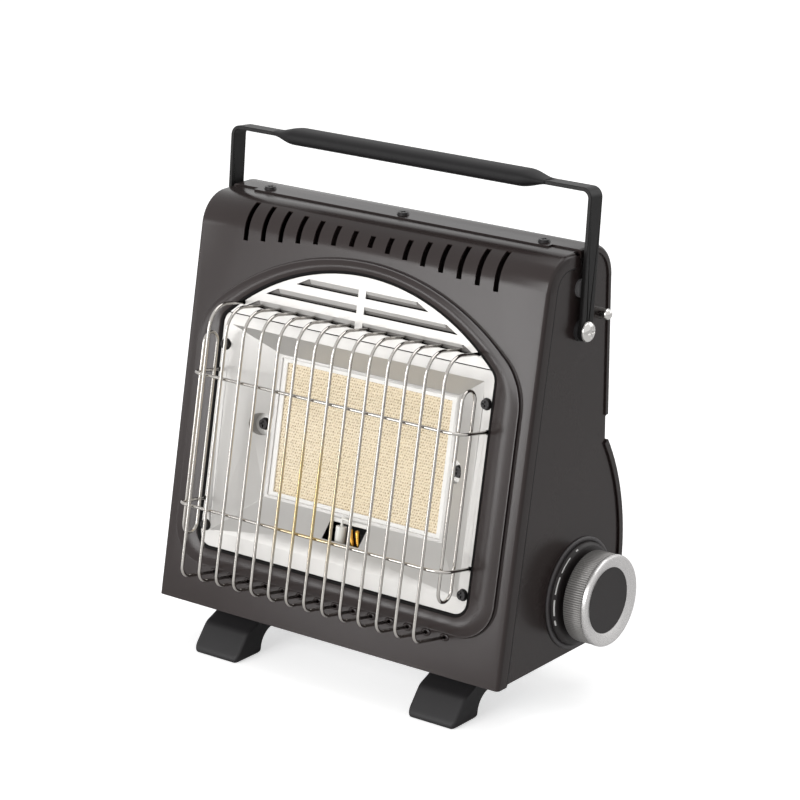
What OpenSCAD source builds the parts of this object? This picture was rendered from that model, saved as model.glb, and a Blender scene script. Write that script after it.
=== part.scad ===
// Portable butane heater: folded sheet casing with a leaning front, a ceramic tile burner
// behind a bent wire guard, a cartridge bay closed by a curved rear cover, a carrying handle
// and a gas knob on the right. Millimetres, +X to the knob side, +Y to the rear, +Z up.
// The origin is on the floor, below the middle of the casing.

/* [Casing] */
// Width across the front shell
case_w = 265; // [250:1:290]
// Height of the casing above its bottom edge
case_h = 253.5; // [248:0.5:262]
// Depth from the bottom front edge to the flat rear face
case_d = 113.5; // [110:0.5:120]
// Lean of the front face from upright, degrees
lean = 11.2; // [10.4:0.1:11.8]
// Radius of the roll between the front face and the top
roll_r = 22; // [18:0.5:24]
// Radius of the rear top corner
rear_roll_r = 22; // [12:0.5:26]
// Thickness of the painted casing sheet
sheet = 1; // [0.7:0.1:1.2]
// Depth of the front shell's side flanges
front_flange = 9; // [6:0.5:12]
// Depth of the front shell's bottom flange
bottom_flange = 33; // [28:1:40]
// Depth of the rear panel's side flanges
rear_flange = 4.5; // [3:0.5:7]
// Radius of the side folds of the front shell and the rear panel
fold_r = 2.5; // [1.6:0.1:3.5]
// Place of the top seam between the two rolls, as a share of the flat top
seam_share = 0.275; // [0.2:0.005:0.4]
// Gap between the end of the shell's tongue and the rear roll
tongue_gap = 3; // [2:0.5:5]
// Height of the rear panel's lower edge
rear_low = 144; // [142:0.5:150]

/* [Arched border and mouth] */
// Half width of the raised border
border_half_w = 123.5; // [118:0.5:124.5]
// Bottom of the raised border, up the front face
border_low = 26.5; // [25.5:0.5:29]
// Drop of the raised border's top below the roll
border_drop = 3.8; // [2:0.1:6]
// Arch radius of the raised border
border_arc_r = 170; // [160:1:185]
// Shoulder radius of the raised border
border_shoulder_r = 40; // [34:1:46]
// Height of the raised border in front of the face
raise_d = 2.4; // [1.9:0.1:3]
// Half width of the mouth
mouth_half_w = 105; // [103:0.5:107]
// Bottom of the mouth, up the front face
mouth_low = 38; // [36:0.5:40]
// Width of the border above the mouth
border_band = 7.5; // [6:0.5:9]
// Arch radius of the mouth
mouth_arc_r = 150; // [144:1:160]
// Corner radius of the mouth
mouth_corner_r = 10; // [6:0.5:14]

/* [Top vents] */
// Vent slots on each side of the middle one
vent_side = 7; // [5:1:7]
// Spacing of the vent slots
vent_pitch = 13.6; // [12:0.1:14]
// Width of a vent slot
vent_w = 3.7; // [3:0.1:4.5]

/* [Reflector and burner] */
// Thickness of the reflector sheet
liner = 0.8; // [0.6:0.1:1]
// Height of the arch above the reflector's flange
arch_h = 40.5; // [39:0.5:42]
// Gap between the reflector's flange and the louvred plate
plate_gap = 0.6; // [0.4:0.1:1.5]
// Height of a louvre slot
louvre_slot = 4.6; // [3.5:0.1:5.5]
// Half width of the reflector's mouth
tray_half_w = 96.4; // [93:0.1:98]
// Width of the reflector's flange below its mouth
sill = 11.5; // [9:0.5:14]
// Width of the reflector's flange above its mouth
head = 7; // [6:0.5:9]
// Depth of the reflector's floor behind the front face
floor_n = 15; // [13:0.5:17]
// Rise of the burner's middle above the middle of the reflector
tile_rise = 5.6; // [4:0.1:7]
// Width of the ceramic tile
tile_w = 132; // [128:0.5:133]
// Height of the ceramic tile
tile_h = 87; // [84:0.5:88]
// Thickness of the ceramic tile
tile_t = 12; // [10:0.5:14]
// Overlap of the tile frame on the tile
tile_lip = 2.5; // [1.5:0.1:3.5]
// Thickness of the tile frame
frame_t = 1.2; // [0.8:0.1:1.6]
// Thickness of the fibre gasket around the tile
gasket_t = 3; // [2:0.1:4]
// Depth of the burner box
box_d = 19; // [17:0.5:20]
// Outside diameter of the venturi tube
venturi_d = 20; // [16:0.5:22]
// Distance of the burner screws from the reflector's floor
screw_set = 6; // [5.5:0.1:8]

/* [Wire guard] */
// Diameter of the guard wire
wire_d = 2.6; // [2:0.1:2.8]
// Number of upright wires
upright_count = 14; // [10:1:14]
// Spacing of the upright wires
upright_pitch = 13.82; // [12:0.01:14]
// Distance of the uprights in front of the front face
guard_out = 32.6; // [26:0.1:34]
// Height of the uprights' lower ends, up the front face
guard_low = 23.6; // [20:0.1:24]
// Height of the upper crossbar above the burner's middle
bar_above = 30.4; // [22:0.1:38]
// Depth of the lower crossbar below the burner's middle
bar_below = 52.1; // [44:0.1:58]
// Half width between the crossbars' legs
bar_half_w = 102.8; // [101:0.1:103]
// Bend radius of the crossbars
bar_bend_r = 9; // [7.5:0.5:10]
// Bend radius of the uprights' lower ends
hook_r = 7; // [5:0.5:9]
// Bend radius of the uprights' upper ends
top_hook_r = 15.5; // [10:0.5:18]
// Rise of the side loops above the middle of the two crossbars
loop_rise = 2.8; // [0:0.1:5]
// Length of the side loops
loop_len = 127; // [115:1:132]
// Width of the side loops
loop_w = 13; // [9:0.5:15]

/* [Carrying handle] */
// Depth of the handle's pivot below the top
pivot_drop = 49.5; // [46:0.5:55]
// Distance of the handle's pivot from the flat rear face
pivot_set = 33; // [30:0.5:36]
// Lean of the handle at rest, degrees
handle_lean = 5.5; // [0:0.5:10]
// Rise of the handle above its pivot
handle_rise = 86; // [80:0.5:100]
// Gap between the side panel and the handle strap
strap_gap = 2.8; // [2.4:0.1:4]
// Thickness of the handle strap
strap_t = 2.5; // [2:0.1:3]
// Width of the handle strap
strap_w = 12.2; // [10:0.1:13]
// Length of the hand grip
grip_len = 207; // [180:1:220]
// Depth of the hand grip
grip_w = 22; // [18:0.5:26]
// Thickness of the hand grip
grip_t = 10.5; // [8:0.5:13]
// Diameter of the pivot shank
pivot_d = 6; // [5:0.1:7]
// Diameter of the stop pins
stop_d = 7; // [5:0.1:8]

/* [Cartridge bay and rear cover] */
// Radius of the rear cover
door_r = 132; // [130:0.5:134]
// Height of the rear cover's centre of curvature
door_cz = 60; // [58:0.5:62]
// Angle of the cover's hinge above its centre of curvature, degrees
hinge_a = 34.5; // [33.5:0.1:35]
// Thickness of the rear cover
door_t = 1.2; // [0.8:0.1:1.4]
// Depth of the rims that overlap the side panels
door_rim = 4; // [3:0.5:5]
// Diameter of the hinge rod
rod_d = 4; // [3:0.1:4.2]
// Radius of the gas cartridge that the bay takes
cartridge_r = 33.5; // [33:0.1:33.7]

/* [Gas valve and knob] */
// Distance of the gas axis behind the bottom front edge
gas_y = 84.5; // [83.5:0.1:85.5]
// Height of the gas axis above the casing's bottom edge
gas_z = 37; // [36.5:0.1:38]
// Diameter of the regulator drum
drum_d = 52; // [46:0.5:54]
// Diameter of the gas spindle
spindle_d = 8; // [6:0.1:9]
// Diameter of the knob's front ring
knob_d = 57; // [50:0.5:60]
// Length of the knob
knob_len = 16.5; // [14:0.5:20]
// Diameter of the knob's centre disc
cap_d = 41; // [36:0.5:44]
// Depth of the knurl on the knob's skirt
knurl_d = 0.5; // [0.3:0.05:0.8]
// Number of knurl grooves
knurl_count = 72; // [48:1:96]
// Depth of the dished front down to the centre disc
cap_sink = 2.4; // [1.5:0.1:3]
// Push travel of the knob
knob_push = 3; // [2:0.1:3.5]
// Diameter of the dial plate
dial_d = 64; // [60:0.5:66]
// Thickness of the dial plate
dial_t = 4.5; // [3:0.1:5]
// Width of the thin flange around the dial plate
dial_flange = 3; // [2:0.5:5]

/* [Feet] */
// Height of the feet
foot_h = 32; // [26:0.5:36]
// Width of a foot
foot_w = 35.8; // [30:0.1:40]
// Middle of a front foot from the casing's side
foot_front_set = 47.8; // [38:0.1:57]
// Middle of a rear foot from the casing's side
foot_rear_inset = 66.5; // [57:0.5:77]

/* [Fits] */
// Radial clearance of turning pins
run_gap = 0.05; // [0.02:0.01:0.1]
// Gap between parts that move past each other
side_gap = 0.3; // [0.3:0.05:0.4]

/* [Hidden] */
$fn = 48;
far = 600;
bulge = 0.02;
cut = 1;
edge_gap = 0.1;
side_x = case_w / 2 - sheet;
panel_in = side_x - sheet;
flat_w = case_w - 2 * fold_r;
shell_h = case_h - sheet;
roll_z = shell_h - roll_r;
roll_y = roll_z * tan(lean) + roll_r / cos(lean);
roll_s = (roll_z + roll_r * sin(lean)) / cos(lean);
rear_roll_y = case_d - rear_roll_r;
rear_roll_z = case_h - rear_roll_r;
seam_y = roll_y + (rear_roll_y - roll_y) * seam_share;
tongue_end = rear_roll_y - tongue_gap;
border_high = round(2 * (roll_s - border_drop)) / 2;
mouth_high = border_high - border_band;
flange_top = mouth_high - arch_h;
tray_low = mouth_low + sill;
tray_high = flange_top - head;
tile_s = (tray_low + tray_high) / 2 + tile_rise;
bar_high = tile_s + bar_above;
bar_low = tile_s - bar_below;
loop_s = (bar_high + bar_low) / 2 + loop_rise;
pivot_z = case_h - pivot_drop;
pivot_y = case_d - pivot_set;
border_corner_r = 24;
band_back = sheet - raise_d;
flange_back = band_back + liner;
plate_low = flange_top + plate_gap;
louvre_s = mouth_high - 33.8;
louvre_pitch = 9.7;
mouth_lap = 6;
pilot_n = floor_n - 2.2;
screw_x = 100;
screw_low = mouth_low + 14;
screw_high = flange_top - 20;
top_screw_x = 104.5;
top_screw_y = (seam_y + tongue_end) / 2;
frame_n = floor_n + liner;
tile_n = frame_n + frame_t;
box_n = tile_n + box_d;
box_w = tile_w + 2 * gasket_t;
box_h = tile_h + 2 * gasket_t;
box_t = 1;
window_w = tile_w + 2;
window_h = tile_h;
slope_w = window_w + 4;
slope_h = window_h + 4;
burner_screw_x = slope_w / 2 + screw_set;
frame_w = 2 * (burner_screw_x + 5);
frame_h = tile_h + 12;
pilot_top = tile_s - slope_h / 2 - 1;
pilot_h = 13.1;
pilot_half_w = 14.3;
pilot_low = pilot_top - pilot_h;
electrode_x = -5;
electrode_d = 7;
rod_x = [7, 11.8];
sense_d = 3;
pilot_plate_t = 1.5;
pilot_plate_s = pilot_low - 11;
pilot_plate_n = flange_back + 0.25
    + (pilot_plate_s + pilot_plate_t - tray_low) * (floor_n - band_back) / (tile_s - slope_h / 2 - tray_low);
venturi_s = tile_s + 25;
venturi_n = box_n + venturi_d / 2 + 4;
venturi_wall = 1.5;
elbow_r = 14;
elbow_x = -39;
mouth_x = 70;
nozzle_x = 82;
pipe_d = 5;
pipe_x = 112;
pipe_r = 6;
venturi_y = venturi_s * sin(lean) + venturi_n * cos(lean);
venturi_z = venturi_s * cos(lean) - venturi_n * sin(lean);
door_cy = -1;
knuckle_r = rod_d / 2 + 1.2;
hinge_y = door_cy + (door_r - knuckle_r) * cos(hinge_a);
hinge_z = door_cz + (door_r - knuckle_r) * sin(hinge_a);
panel_bulge_r = door_r - door_t - side_gap - 0.1;
door_corner_a = hinge_a - 3.5;
door_low_a = asin((sheet - door_cz) / door_r);
rim_t = 1;
hem_t = 1.2;
hem_in = 9;
panel_notch_z = rear_low - sheet;
ear_y = case_d - fold_r - edge_gap - 2 * side_gap;
strap_in = side_x + strap_gap;
strap_out = strap_in + strap_t;
strap_bend = 6.5;
stop_y = pivot_y + 18.2;
stop_z = pivot_z + 6.8;
button_y = pivot_y - 0.5;
button_z = pivot_z + 26;
cradle_x = [-95, -30, 35];
pan_t = 1;
pan_top = sheet + pan_t;
pan_rear = 104;
pan_front = 5.2;
pan_wall = 12;
shield_t = 1;
shield_y = 44;
box_low_z = (tile_s - box_h / 2 - box_t) * cos(lean) - box_n * sin(lean);
shield_knee = box_low_z - 9;
shield_rear_y = hinge_y - knuckle_r - 1.5;
shield_slope = 0.72;
shield_rear_z = shield_knee + (shield_rear_y - shield_y) * shield_slope;
shield_top = hinge_z - 5;
socket_x = 70;
socket_d = 40;
socket_bore = 30.4;
socket_depth = 12;
drum_x = 86;
neck_x = 116;
bracket_x = panel_in - 4.5;
bracket_t = 1.5;
bracket_front = gas_y - drum_d / 2 - 12.5;
bracket_rear = pan_rear - pan_t - 0.5;
sleeve_d = 14;
spindle_end = 104.5;
knob_back = side_x + dial_t + knob_push + side_gap;
knob_front = knob_back + knob_len;
shank_d = 4;
hole_gap = 0.1;
hook_s = louvre_s + wire_d / 2 + hole_gap;
foot_front_x = case_w / 2 - foot_front_set;
foot_rear_x = case_w / 2 - foot_rear_inset;
foot_screw_y = 28;
foot_rear_set = 34;
foot_rear_y = case_d - foot_rear_set;
toe_y = -2.5;
toe_h = 3.5;
pad_len = 24.5;
instep_y = 9;
instep_z = -14.5;
ramp_y = 22;
ramp_z = -9.2;
neck_y = 24;
heel_y = 44;
heel_z = -16;
heel_r = 16;

// Frames of reference: the casing's bottom front edge, the front face and the gas axis
module at_case() { translate([0, -case_d / 2, foot_h]) children(); }
module on_front() { at_case() rotate([90 - lean, 0, 0]) children(); }
module on_gas_axis() { at_case() translate([0, gas_y, gas_z]) rotate([0, 90, 0]) children(); }
module along_x(w) { rotate([90, 0, 90]) linear_extrude(w, center = true) children(); }
module both_sides() { children(); mirror([1, 0, 0]) children(); }

// A rod along X between two ends, on the axis through y and z
module x_rod(x0, x1, y, z, d) {
    translate([x0, y, z]) rotate([0, 90, 0]) cylinder(d = d, h = x1 - x0);
}

// Side view of what lies outside a round corner, within the angle between two directions
module corner_waste(r, a0, a1, over = bulge) {
    difference() {
        polygon([[0, 0], for (a = [a0, (a0 + a1) / 2, a1]) 3 * r * [cos(a), sin(a)]]);
        circle(r + over);
    }
}

// Side view of what lies behind the front face and below the top, inset by k
module front_region(k) {
    edge = k / cos(lean);
    difference() {
        polygon([[edge - far * tan(lean), -far], [edge + (shell_h - k) * tan(lean), shell_h - k],
            [far, shell_h - k], [far, -far]]);
        translate([roll_y, roll_z]) corner_waste(roll_r - k, 90, 180 - lean);
    }
}

// Side view of what lies ahead of the rear face and below the top strip, inset by k
module rear_region(k) {
    difference() {
        polygon([[-far, case_h - k], [case_d - k, case_h - k], [case_d - k, -far], [-far, -far]]);
        translate([rear_roll_y, rear_roll_z]) corner_waste(rear_roll_r - k, 0, 90);
    }
}

// Section of a block with round side folds: X across, Y from the outer face inwards
module fold_block(depth, lift = 0, over = bulge) {
    difference() {
        translate([-case_w / 2, -lift]) square([case_w, depth + lift]);
        translate([case_w / 2 - fold_r, fold_r]) corner_waste(fold_r, -90, 0, over);
        translate([fold_r - case_w / 2, fold_r]) corner_waste(fold_r, 180, 270, over);
    }
}

// The block led round a roll of radius r, from the top forwards, and into the flats at both ends
module fold_roll(r, a, depth) {
    run_out = 4;
    rotate([90, 0, 0]) rotate([90, 0, 90]) rotate([0, 0, -run_out]) rotate_extrude(angle = a + 2 * run_out)
        translate([r, 0]) rotate(90) fold_block(depth, 1.5 * bulge, 3 * bulge);
}

// The block led level to the rear, with its outer face up
module fold_level(len, depth) { rotate([-90, 0, 0]) linear_extrude(len) fold_block(depth); }

// An arch with round shoulders and round lower corners, made of tangent arcs
module arch_outline(half_w, low, high, arc_r, shoulder_r, corner_r) {
    shoulder_x = half_w - shoulder_r;
    arc_s = high - arc_r;
    shoulder_s = arc_s + sqrt(pow(arc_r - shoulder_r, 2) - shoulder_x * shoulder_x);
    reach = 2 * arc_r / (arc_r - shoulder_r);
    translate([-half_w, low + corner_r]) square([2 * half_w, shoulder_s - low - corner_r]);
    translate([corner_r - half_w, low]) square([2 * (half_w - corner_r), 2 * corner_r]);
    for (side = [-1, 1]) {
        translate([side * (half_w - corner_r), low + corner_r]) circle(corner_r);
        translate([side * shoulder_x, shoulder_s]) circle(shoulder_r);
    }
    intersection() {
        translate([0, arc_s]) circle(arc_r, $fn = 120);
        polygon([[0, arc_s], [-shoulder_x * reach, arc_s + (shoulder_s - arc_s) * reach],
            [shoulder_x * reach, arc_s + (shoulder_s - arc_s) * reach]]);
    }
}

module border_outline(k) {
    arch_outline(border_half_w - k, border_low + k, border_high - k, border_arc_r - k,
        border_shoulder_r - k, border_corner_r - k);
}

module mouth_outline(k) {
    arch_outline(mouth_half_w - k, mouth_low + k, mouth_high - k, mouth_arc_r - k,
        mouth_corner_r - k, mouth_corner_r - k);
}

// Positions that repeat
upright_x = [for (i = [0 : upright_count - 1]) (i - (upright_count - 1) / 2) * upright_pitch];
vent_x = [for (i = [-vent_side : vent_side]) i * vent_pitch];

// Casing

// Vent slot on the roll: longer towards the ends, so the lower ends follow the arch
module vent_cut(x) {
    start = 5 - 0.113 * abs(x);
    a0 = max(start, 0) / roll_r * 180 / PI;
    a1 = 33 + 0.232 * abs(x);
    r_in = roll_r - sheet - 2;
    r_out = 1.5 * roll_r;
    translate([x, 0, 0]) along_x(vent_w) translate([roll_y, roll_z]) rotate(180 - lean)
        polygon([[r_in * cos(a0), start < 0 ? -start : -r_in * sin(a0)],
            [r_out * cos(a0), start < 0 ? -start : -r_out * sin(a0)],
            [r_out * cos(a1), -r_out * sin(a1)], [r_in * cos(a1), -r_in * sin(a1)]]);
}

module top_screw_holes() {
    for (x = [-top_screw_x, 0, top_screw_x])
        translate([x, top_screw_y, shell_h - sheet - cut])
            cylinder(d = shank_d + 2 * hole_gap, h = 2 * sheet + 2 * cut);
}

module foot_screw_holes() {
    both_sides() {
        translate([foot_front_x, foot_screw_y, -cut])
            cylinder(d = shank_d + 2 * hole_gap, h = pan_top + 2 * cut);
        translate([foot_rear_x, foot_rear_y, -cut])
            cylinder(d = shank_d + 2 * hole_gap, h = pan_top + 2 * cut);
    }
}

// Front face, roll, side flanges and bottom flange folded from one sheet
module front_blank() {
    depth = front_flange + 4;
    lap = 2;
    difference() {
        translate([0, roll_y, roll_z]) {
            fold_roll(roll_r, 90 - lean, depth);
            translate([0, 0, roll_r]) fold_level(seam_y - side_gap - roll_y, depth);
            rotate([-lean, 0, 0]) translate([0, -roll_r, -roll_s - 2 * lap])
                linear_extrude(roll_s + 2 * lap) fold_block(depth);
        }
        translate([-far, -far, -far]) cube([2 * far, 2 * far, far]);
        along_x(far) front_region(front_flange);
        along_x(2 * side_x) front_region(fold_r);
        along_x(flat_w) front_region(sheet);
    }
    translate([-flat_w / 2, seam_y - lap, shell_h - sheet]) cube([flat_w, tongue_end - seam_y + lap, sheet]);
    along_x(flat_w) intersection() {
        front_region(sheet / 2);
        square([bottom_flange, sheet]);
    }
}

module front_shell() {
    slot_w = 5;
    slot_h = wire_d + 0.8;
    color("#4a4646") difference() {
        union() {
            at_case() front_blank();
            on_front() translate([0, 0, -sheet / 2]) linear_extrude(raise_d + sheet / 2) border_outline(0);
        }
        on_front() {
            translate([0, 0, -sheet - cut]) linear_extrude(raise_d + cut) border_outline(sheet);
            translate([0, 0, -sheet - cut]) linear_extrude(raise_d + sheet + 2 * cut) mouth_outline(0);
        }
        at_case() for (x = vent_x) vent_cut(x);
        at_case() top_screw_holes();
        at_case() foot_screw_holes();
        on_front() for (x = upright_x)
            translate([x - slot_w / 2, guard_low - slot_h / 2, -sheet - cut])
                cube([slot_w, slot_h, sheet + 2 * cut]);
    }
}

// Outline of a side panel: inside the shells above, inside the curved cover below, with an ear between
module side_outline() {
    intersection() {
        front_region(fold_r + edge_gap);
        union() {
            intersection() {
                rear_region(fold_r + edge_gap);
                translate([-far, panel_notch_z]) square([2 * far, far]);
            }
            intersection() {
                translate([door_cy, door_cz]) circle(panel_bulge_r, $fn = 120);
                translate([-far, sheet]) square([2 * far, panel_notch_z - sheet + cut]);
            }
            translate([0, door_cz]) square([ear_y, panel_notch_z - door_cz + cut]);
        }
    }
}

module side_panel(x) {
    at_case() difference() {
        translate([x, 0, 0]) along_x(sheet) side_outline();
        x_rod(x - sheet, x + sheet, pivot_y, pivot_z, pivot_d + 2 * hole_gap);
        x_rod(x - sheet, x + sheet, stop_y, stop_z, shank_d + 2 * hole_gap);
        x_rod(x - sheet, x + sheet, button_y, button_z, shank_d + 2 * hole_gap);
        x_rod(x - sheet, x + sheet, hinge_y, hinge_z, rod_d + 2 * hole_gap);
        children();
    }
}

module side_panel_left() { color("#3a3536") side_panel(sheet / 2 - side_x); }

module side_panel_right() {
    color("#3a3536") side_panel(side_x - sheet / 2)
        x_rod(panel_in - cut, side_x + cut, gas_y, gas_z, spindle_d + 6);
}

module rear_panel() {
    depth = rear_flange + 4;
    tab_x = 112;
    tab_step = 4.5;
    vent_len = 46;
    vent_mid = 188;
    color("#3f3b3b") at_case() difference() {
        union() {
            difference() {
                translate([0, rear_roll_y, rear_roll_z]) {
                    mirror([0, 1, 0]) fold_roll(rear_roll_r, 90, depth);
                    translate([0, seam_y - rear_roll_y, rear_roll_r])
                        fold_level(rear_roll_y - seam_y, depth);
                    translate([0, rear_roll_r, rear_low - rear_roll_z]) mirror([0, 1, 0])
                        linear_extrude(rear_roll_z - rear_low) fold_block(depth);
                }
                along_x(far) rear_region(rear_flange);
                along_x(2 * side_x) rear_region(fold_r);
                along_x(flat_w) rear_region(sheet);
            }
            along_x(flat_w) translate([shield_rear_y, rear_low])
                square([case_d - sheet / 2 - shield_rear_y, sheet]);
        }
        both_sides() translate([tab_x, seam_y - cut, case_h - rear_flange - cut])
            cube([case_w, tab_step + cut, far]);
        top_screw_holes();
        for (x = [-6 : 6]) translate([x * 15, case_d, vent_mid]) rotate([90, 0, 0]) {
            for (end = [-1, 1]) translate([0, end * vent_len / 2, 0])
                cylinder(d = 4, h = 3 * sheet, center = true);
            cube([4, vent_len, 3 * sheet], center = true);
        }
    }
}

module base_pan() {
    pan_w = 2 * panel_in;
    color("#8d8f91") at_case() difference() {
        translate([-pan_w / 2, pan_front, sheet]) difference() {
            cube([pan_w, pan_rear - pan_front, pan_wall]);
            translate([pan_t, pan_t, pan_t])
                cube([pan_w - 2 * pan_t, pan_rear - pan_front - 2 * pan_t, pan_wall]);
        }
        foot_screw_holes();
        for (x = [-5 : 5]) translate([x * 9, 60, 0]) cube([4, 26, 3 * pan_top], center = true);
    }
}

// Reflector and burner, drawn on the front face: X across, Y up the face, Z out of it

module louvre_plate() {
    half_w = [87.5, 73.5, 50.5];
    rib = 2.8;
    end_slant = 9;
    blade_a = 30;
    root = 0.3;
    color("#e9e6e3") on_front() translate([0, 0, -flange_back]) {
        difference() {
            linear_extrude(liner) intersection() {
                mouth_outline(-mouth_lap);
                translate([-far, plate_low]) square([2 * far, far]);
            }
            both_sides() for (i = [0 : 2]) translate([0, louvre_s + i * louvre_pitch, -cut])
                linear_extrude(liner + 2 * cut)
                    polygon([[rib, 0], [half_w[i], 0], [half_w[i] - end_slant, louvre_slot],
                        [rib, louvre_slot]]);
            both_sides() translate([upright_x[upright_count - 1], hook_s, -cut])
                cylinder(d = wire_d + 2 * hole_gap, h = liner + 2 * cut);
        }
        both_sides() for (i = [0 : 2])
            translate([rib, louvre_s + i * louvre_pitch + louvre_slot, liner / 2])
                rotate([blade_a, 0, 0]) translate([0, -louvre_slot, -liner / 2])
                    cube([half_w[i] - rib - end_slant - 1, louvre_slot + root, liner]);
    }
}

// Hollow of the tray with four sloped walls, moved back by k
module tray_hollow(k) {
    mouth_z = -band_back - k;
    floor_z = -floor_n - k;
    top = cut + k - band_back;
    intersection() {
        translate([0, far / 2, 0]) rotate([90, 0, 0]) linear_extrude(far)
            polygon([[-tray_half_w, top], [-tray_half_w, mouth_z], [-slope_w / 2, floor_z],
                [slope_w / 2, floor_z], [tray_half_w, mouth_z], [tray_half_w, top]]);
        along_x(far)
            polygon([[tray_low, top], [tray_low, mouth_z], [tile_s - slope_h / 2, floor_z],
                [tile_s + slope_h / 2, floor_z], [tray_high, mouth_z], [tray_high, top]]);
    }
}

module centred_block(w, h, front, back) {
    translate([-w / 2, tile_s - h / 2, -back]) cube([w, h, back - front]);
}

module reflector_tray() {
    pocket_d = 14;
    color("#e2dfdc") on_front() difference() {
        union() {
            translate([0, 0, -flange_back]) linear_extrude(liner) intersection() {
                mouth_outline(-mouth_lap);
                translate([-far, 0]) square([2 * far, flange_top]);
            }
            intersection() {
                tray_hollow(liner);
                translate([-far, -far, -far]) cube([2 * far, 2 * far, far - band_back]);
            }
            both_sides() translate([burner_screw_x, tile_s, -frame_n])
                cylinder(d = pocket_d + 2 * liner, h = frame_n - band_back - liner);
        }
        tray_hollow(0);
        both_sides() translate([burner_screw_x, tile_s, -floor_n]) {
            cylinder(d = pocket_d, h = floor_n);
            translate([0, 0, -liner - cut]) cylinder(d = shank_d + 2 * hole_gap, h = far);
        }
        centred_block(window_w, window_h, floor_n - cut, frame_n + cut);
        translate([-pilot_half_w, pilot_low, -frame_n - cut])
            cube([2 * pilot_half_w, pilot_h, frame_n]);
        both_sides() {
            for (s = [screw_low, screw_high]) translate([screw_x, s, -far / 2])
                cylinder(d = shank_d + 2 * hole_gap, h = far);
            for (s = [bar_low, bar_high]) translate([bar_half_w, s, -far / 2])
                cylinder(d = wire_d + 2 * hole_gap, h = far);
        }
    }
}

module tile_frame() {
    color("#efece8") on_front() difference() {
        centred_block(frame_w, frame_h, frame_n, tile_n);
        centred_block(tile_w - 2 * tile_lip, tile_h - 2 * tile_lip, 0, far);
        both_sides() translate([burner_screw_x, tile_s, -far])
            cylinder(d = shank_d + 2 * hole_gap, h = far);
    }
}

module ceramic_tile() {
    color("#d9c49a") on_front() centred_block(tile_w, tile_h, tile_n, tile_n + tile_t);
}

module tile_gasket() {
    color("#f4f2ee") on_front() difference() {
        centred_block(box_w, box_h, tile_n, tile_n + tile_t);
        centred_block(tile_w, tile_h, 0, far);
    }
}

module burner_box() {
    color("#b9bbbd") on_front() difference() {
        union() {
            centred_block(frame_w, frame_h, tile_n, tile_n + box_t);
            centred_block(box_w + 2 * box_t, box_h + 2 * box_t, tile_n, box_n);
        }
        centred_block(box_w, box_h, 0, box_n - box_t);
        both_sides() translate([burner_screw_x, tile_s, -far])
            cylinder(d = shank_d + 2 * hole_gap, h = far);
        translate([elbow_x, venturi_s, -far / 2 - box_n])
            cylinder(d = venturi_d - 2 * venturi_wall, h = far / 2 + 2);
    }
}

// A tube that comes along X and turns into the burner box
module venturi_run(d) {
    bend_x = elbow_x + elbow_r;
    translate([bend_x, venturi_s, -venturi_n]) rotate([0, 90, 0]) cylinder(d = d, h = mouth_x - bend_x);
    translate([bend_x, venturi_s, elbow_r - venturi_n]) rotate([90, 0, 0])
        rotate([0, 0, 180]) rotate_extrude(angle = 90) translate([elbow_r, 0]) circle(d = d);
    translate([elbow_x, venturi_s, elbow_r - venturi_n])
        cylinder(d = d, h = venturi_n - elbow_r - box_n);
}

module venturi_tube() {
    bell_d = venturi_d + 8;
    bell_len = 10;
    arm = 4;
    plate_h = 16;
    color("#a9abad") on_front() {
        difference() {
            union() {
                venturi_run(venturi_d);
                translate([mouth_x - bell_len, venturi_s, -venturi_n]) rotate([0, 90, 0])
                    cylinder(d1 = venturi_d, d2 = bell_d, h = bell_len);
            }
            venturi_run(venturi_d - 2 * venturi_wall);
            translate([mouth_x - bell_len, venturi_s, -venturi_n]) rotate([0, 90, 0])
                cylinder(d1 = venturi_d - 2 * venturi_wall, d2 = bell_d - 2 * venturi_wall,
                    h = bell_len + 0.01);
        }
        for (side = [-1, 1])
            translate([mouth_x - 3, venturi_s + side * (bell_d / 2 - 1) - arm / 2, -venturi_n - arm / 2])
                cube([nozzle_x - mouth_x + 3, arm, arm]);
        difference() {
            translate([nozzle_x - 1, venturi_s - bell_d / 2 - 1, -venturi_n - plate_h / 2])
                cube([2, bell_d + 2, plate_h]);
            translate([nozzle_x - 2, venturi_s, -venturi_n]) rotate([0, 90, 0])
                cylinder(d = 8 + 2 * hole_gap, h = 4);
        }
    }
}

module injector() {
    color("#c9a24a") on_front() translate([nozzle_x, venturi_s, -venturi_n]) rotate([0, 90, 0])
        difference() {
            union() {
                translate([0, 0, -8]) cylinder(d1 = 3, d2 = 6, h = 3);
                translate([0, 0, -5]) cylinder(d = 8, h = 6);
                translate([0, 0, 1]) cylinder(d = 12, h = 7, $fn = 6);
                translate([0, 0, 8]) cylinder(d = 8, h = 6);
            }
            translate([0, 0, -9]) cylinder(d = 0.9, h = 10);
            translate([0, 0, -2]) cylinder(d = pipe_d - 2, h = 17);
        }
}

// Gas pipe: up from the regulator, then round into the back of the injector
module gas_pipe() {
    pipe_start = nozzle_x + 14;
    drum_top = gas_z + sqrt(pow(drum_d / 2, 2) - pow(gas_y - venturi_y, 2));
    color("#b87a45") at_case() translate([pipe_x, venturi_y, venturi_z]) {
        x_rod(pipe_start - pipe_x, -pipe_r, 0, 0, pipe_d);
        translate([-pipe_r, 0, 0]) rotate([0, 0, -90]) wire_bend(pipe_r, pipe_d);
        translate([0, 0, -pipe_r]) mirror([0, 0, 1])
            cylinder(d = pipe_d, h = venturi_z - pipe_r - drum_top - 0.3);
    }
}

// Ignition parts in the reflector's lower opening

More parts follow.
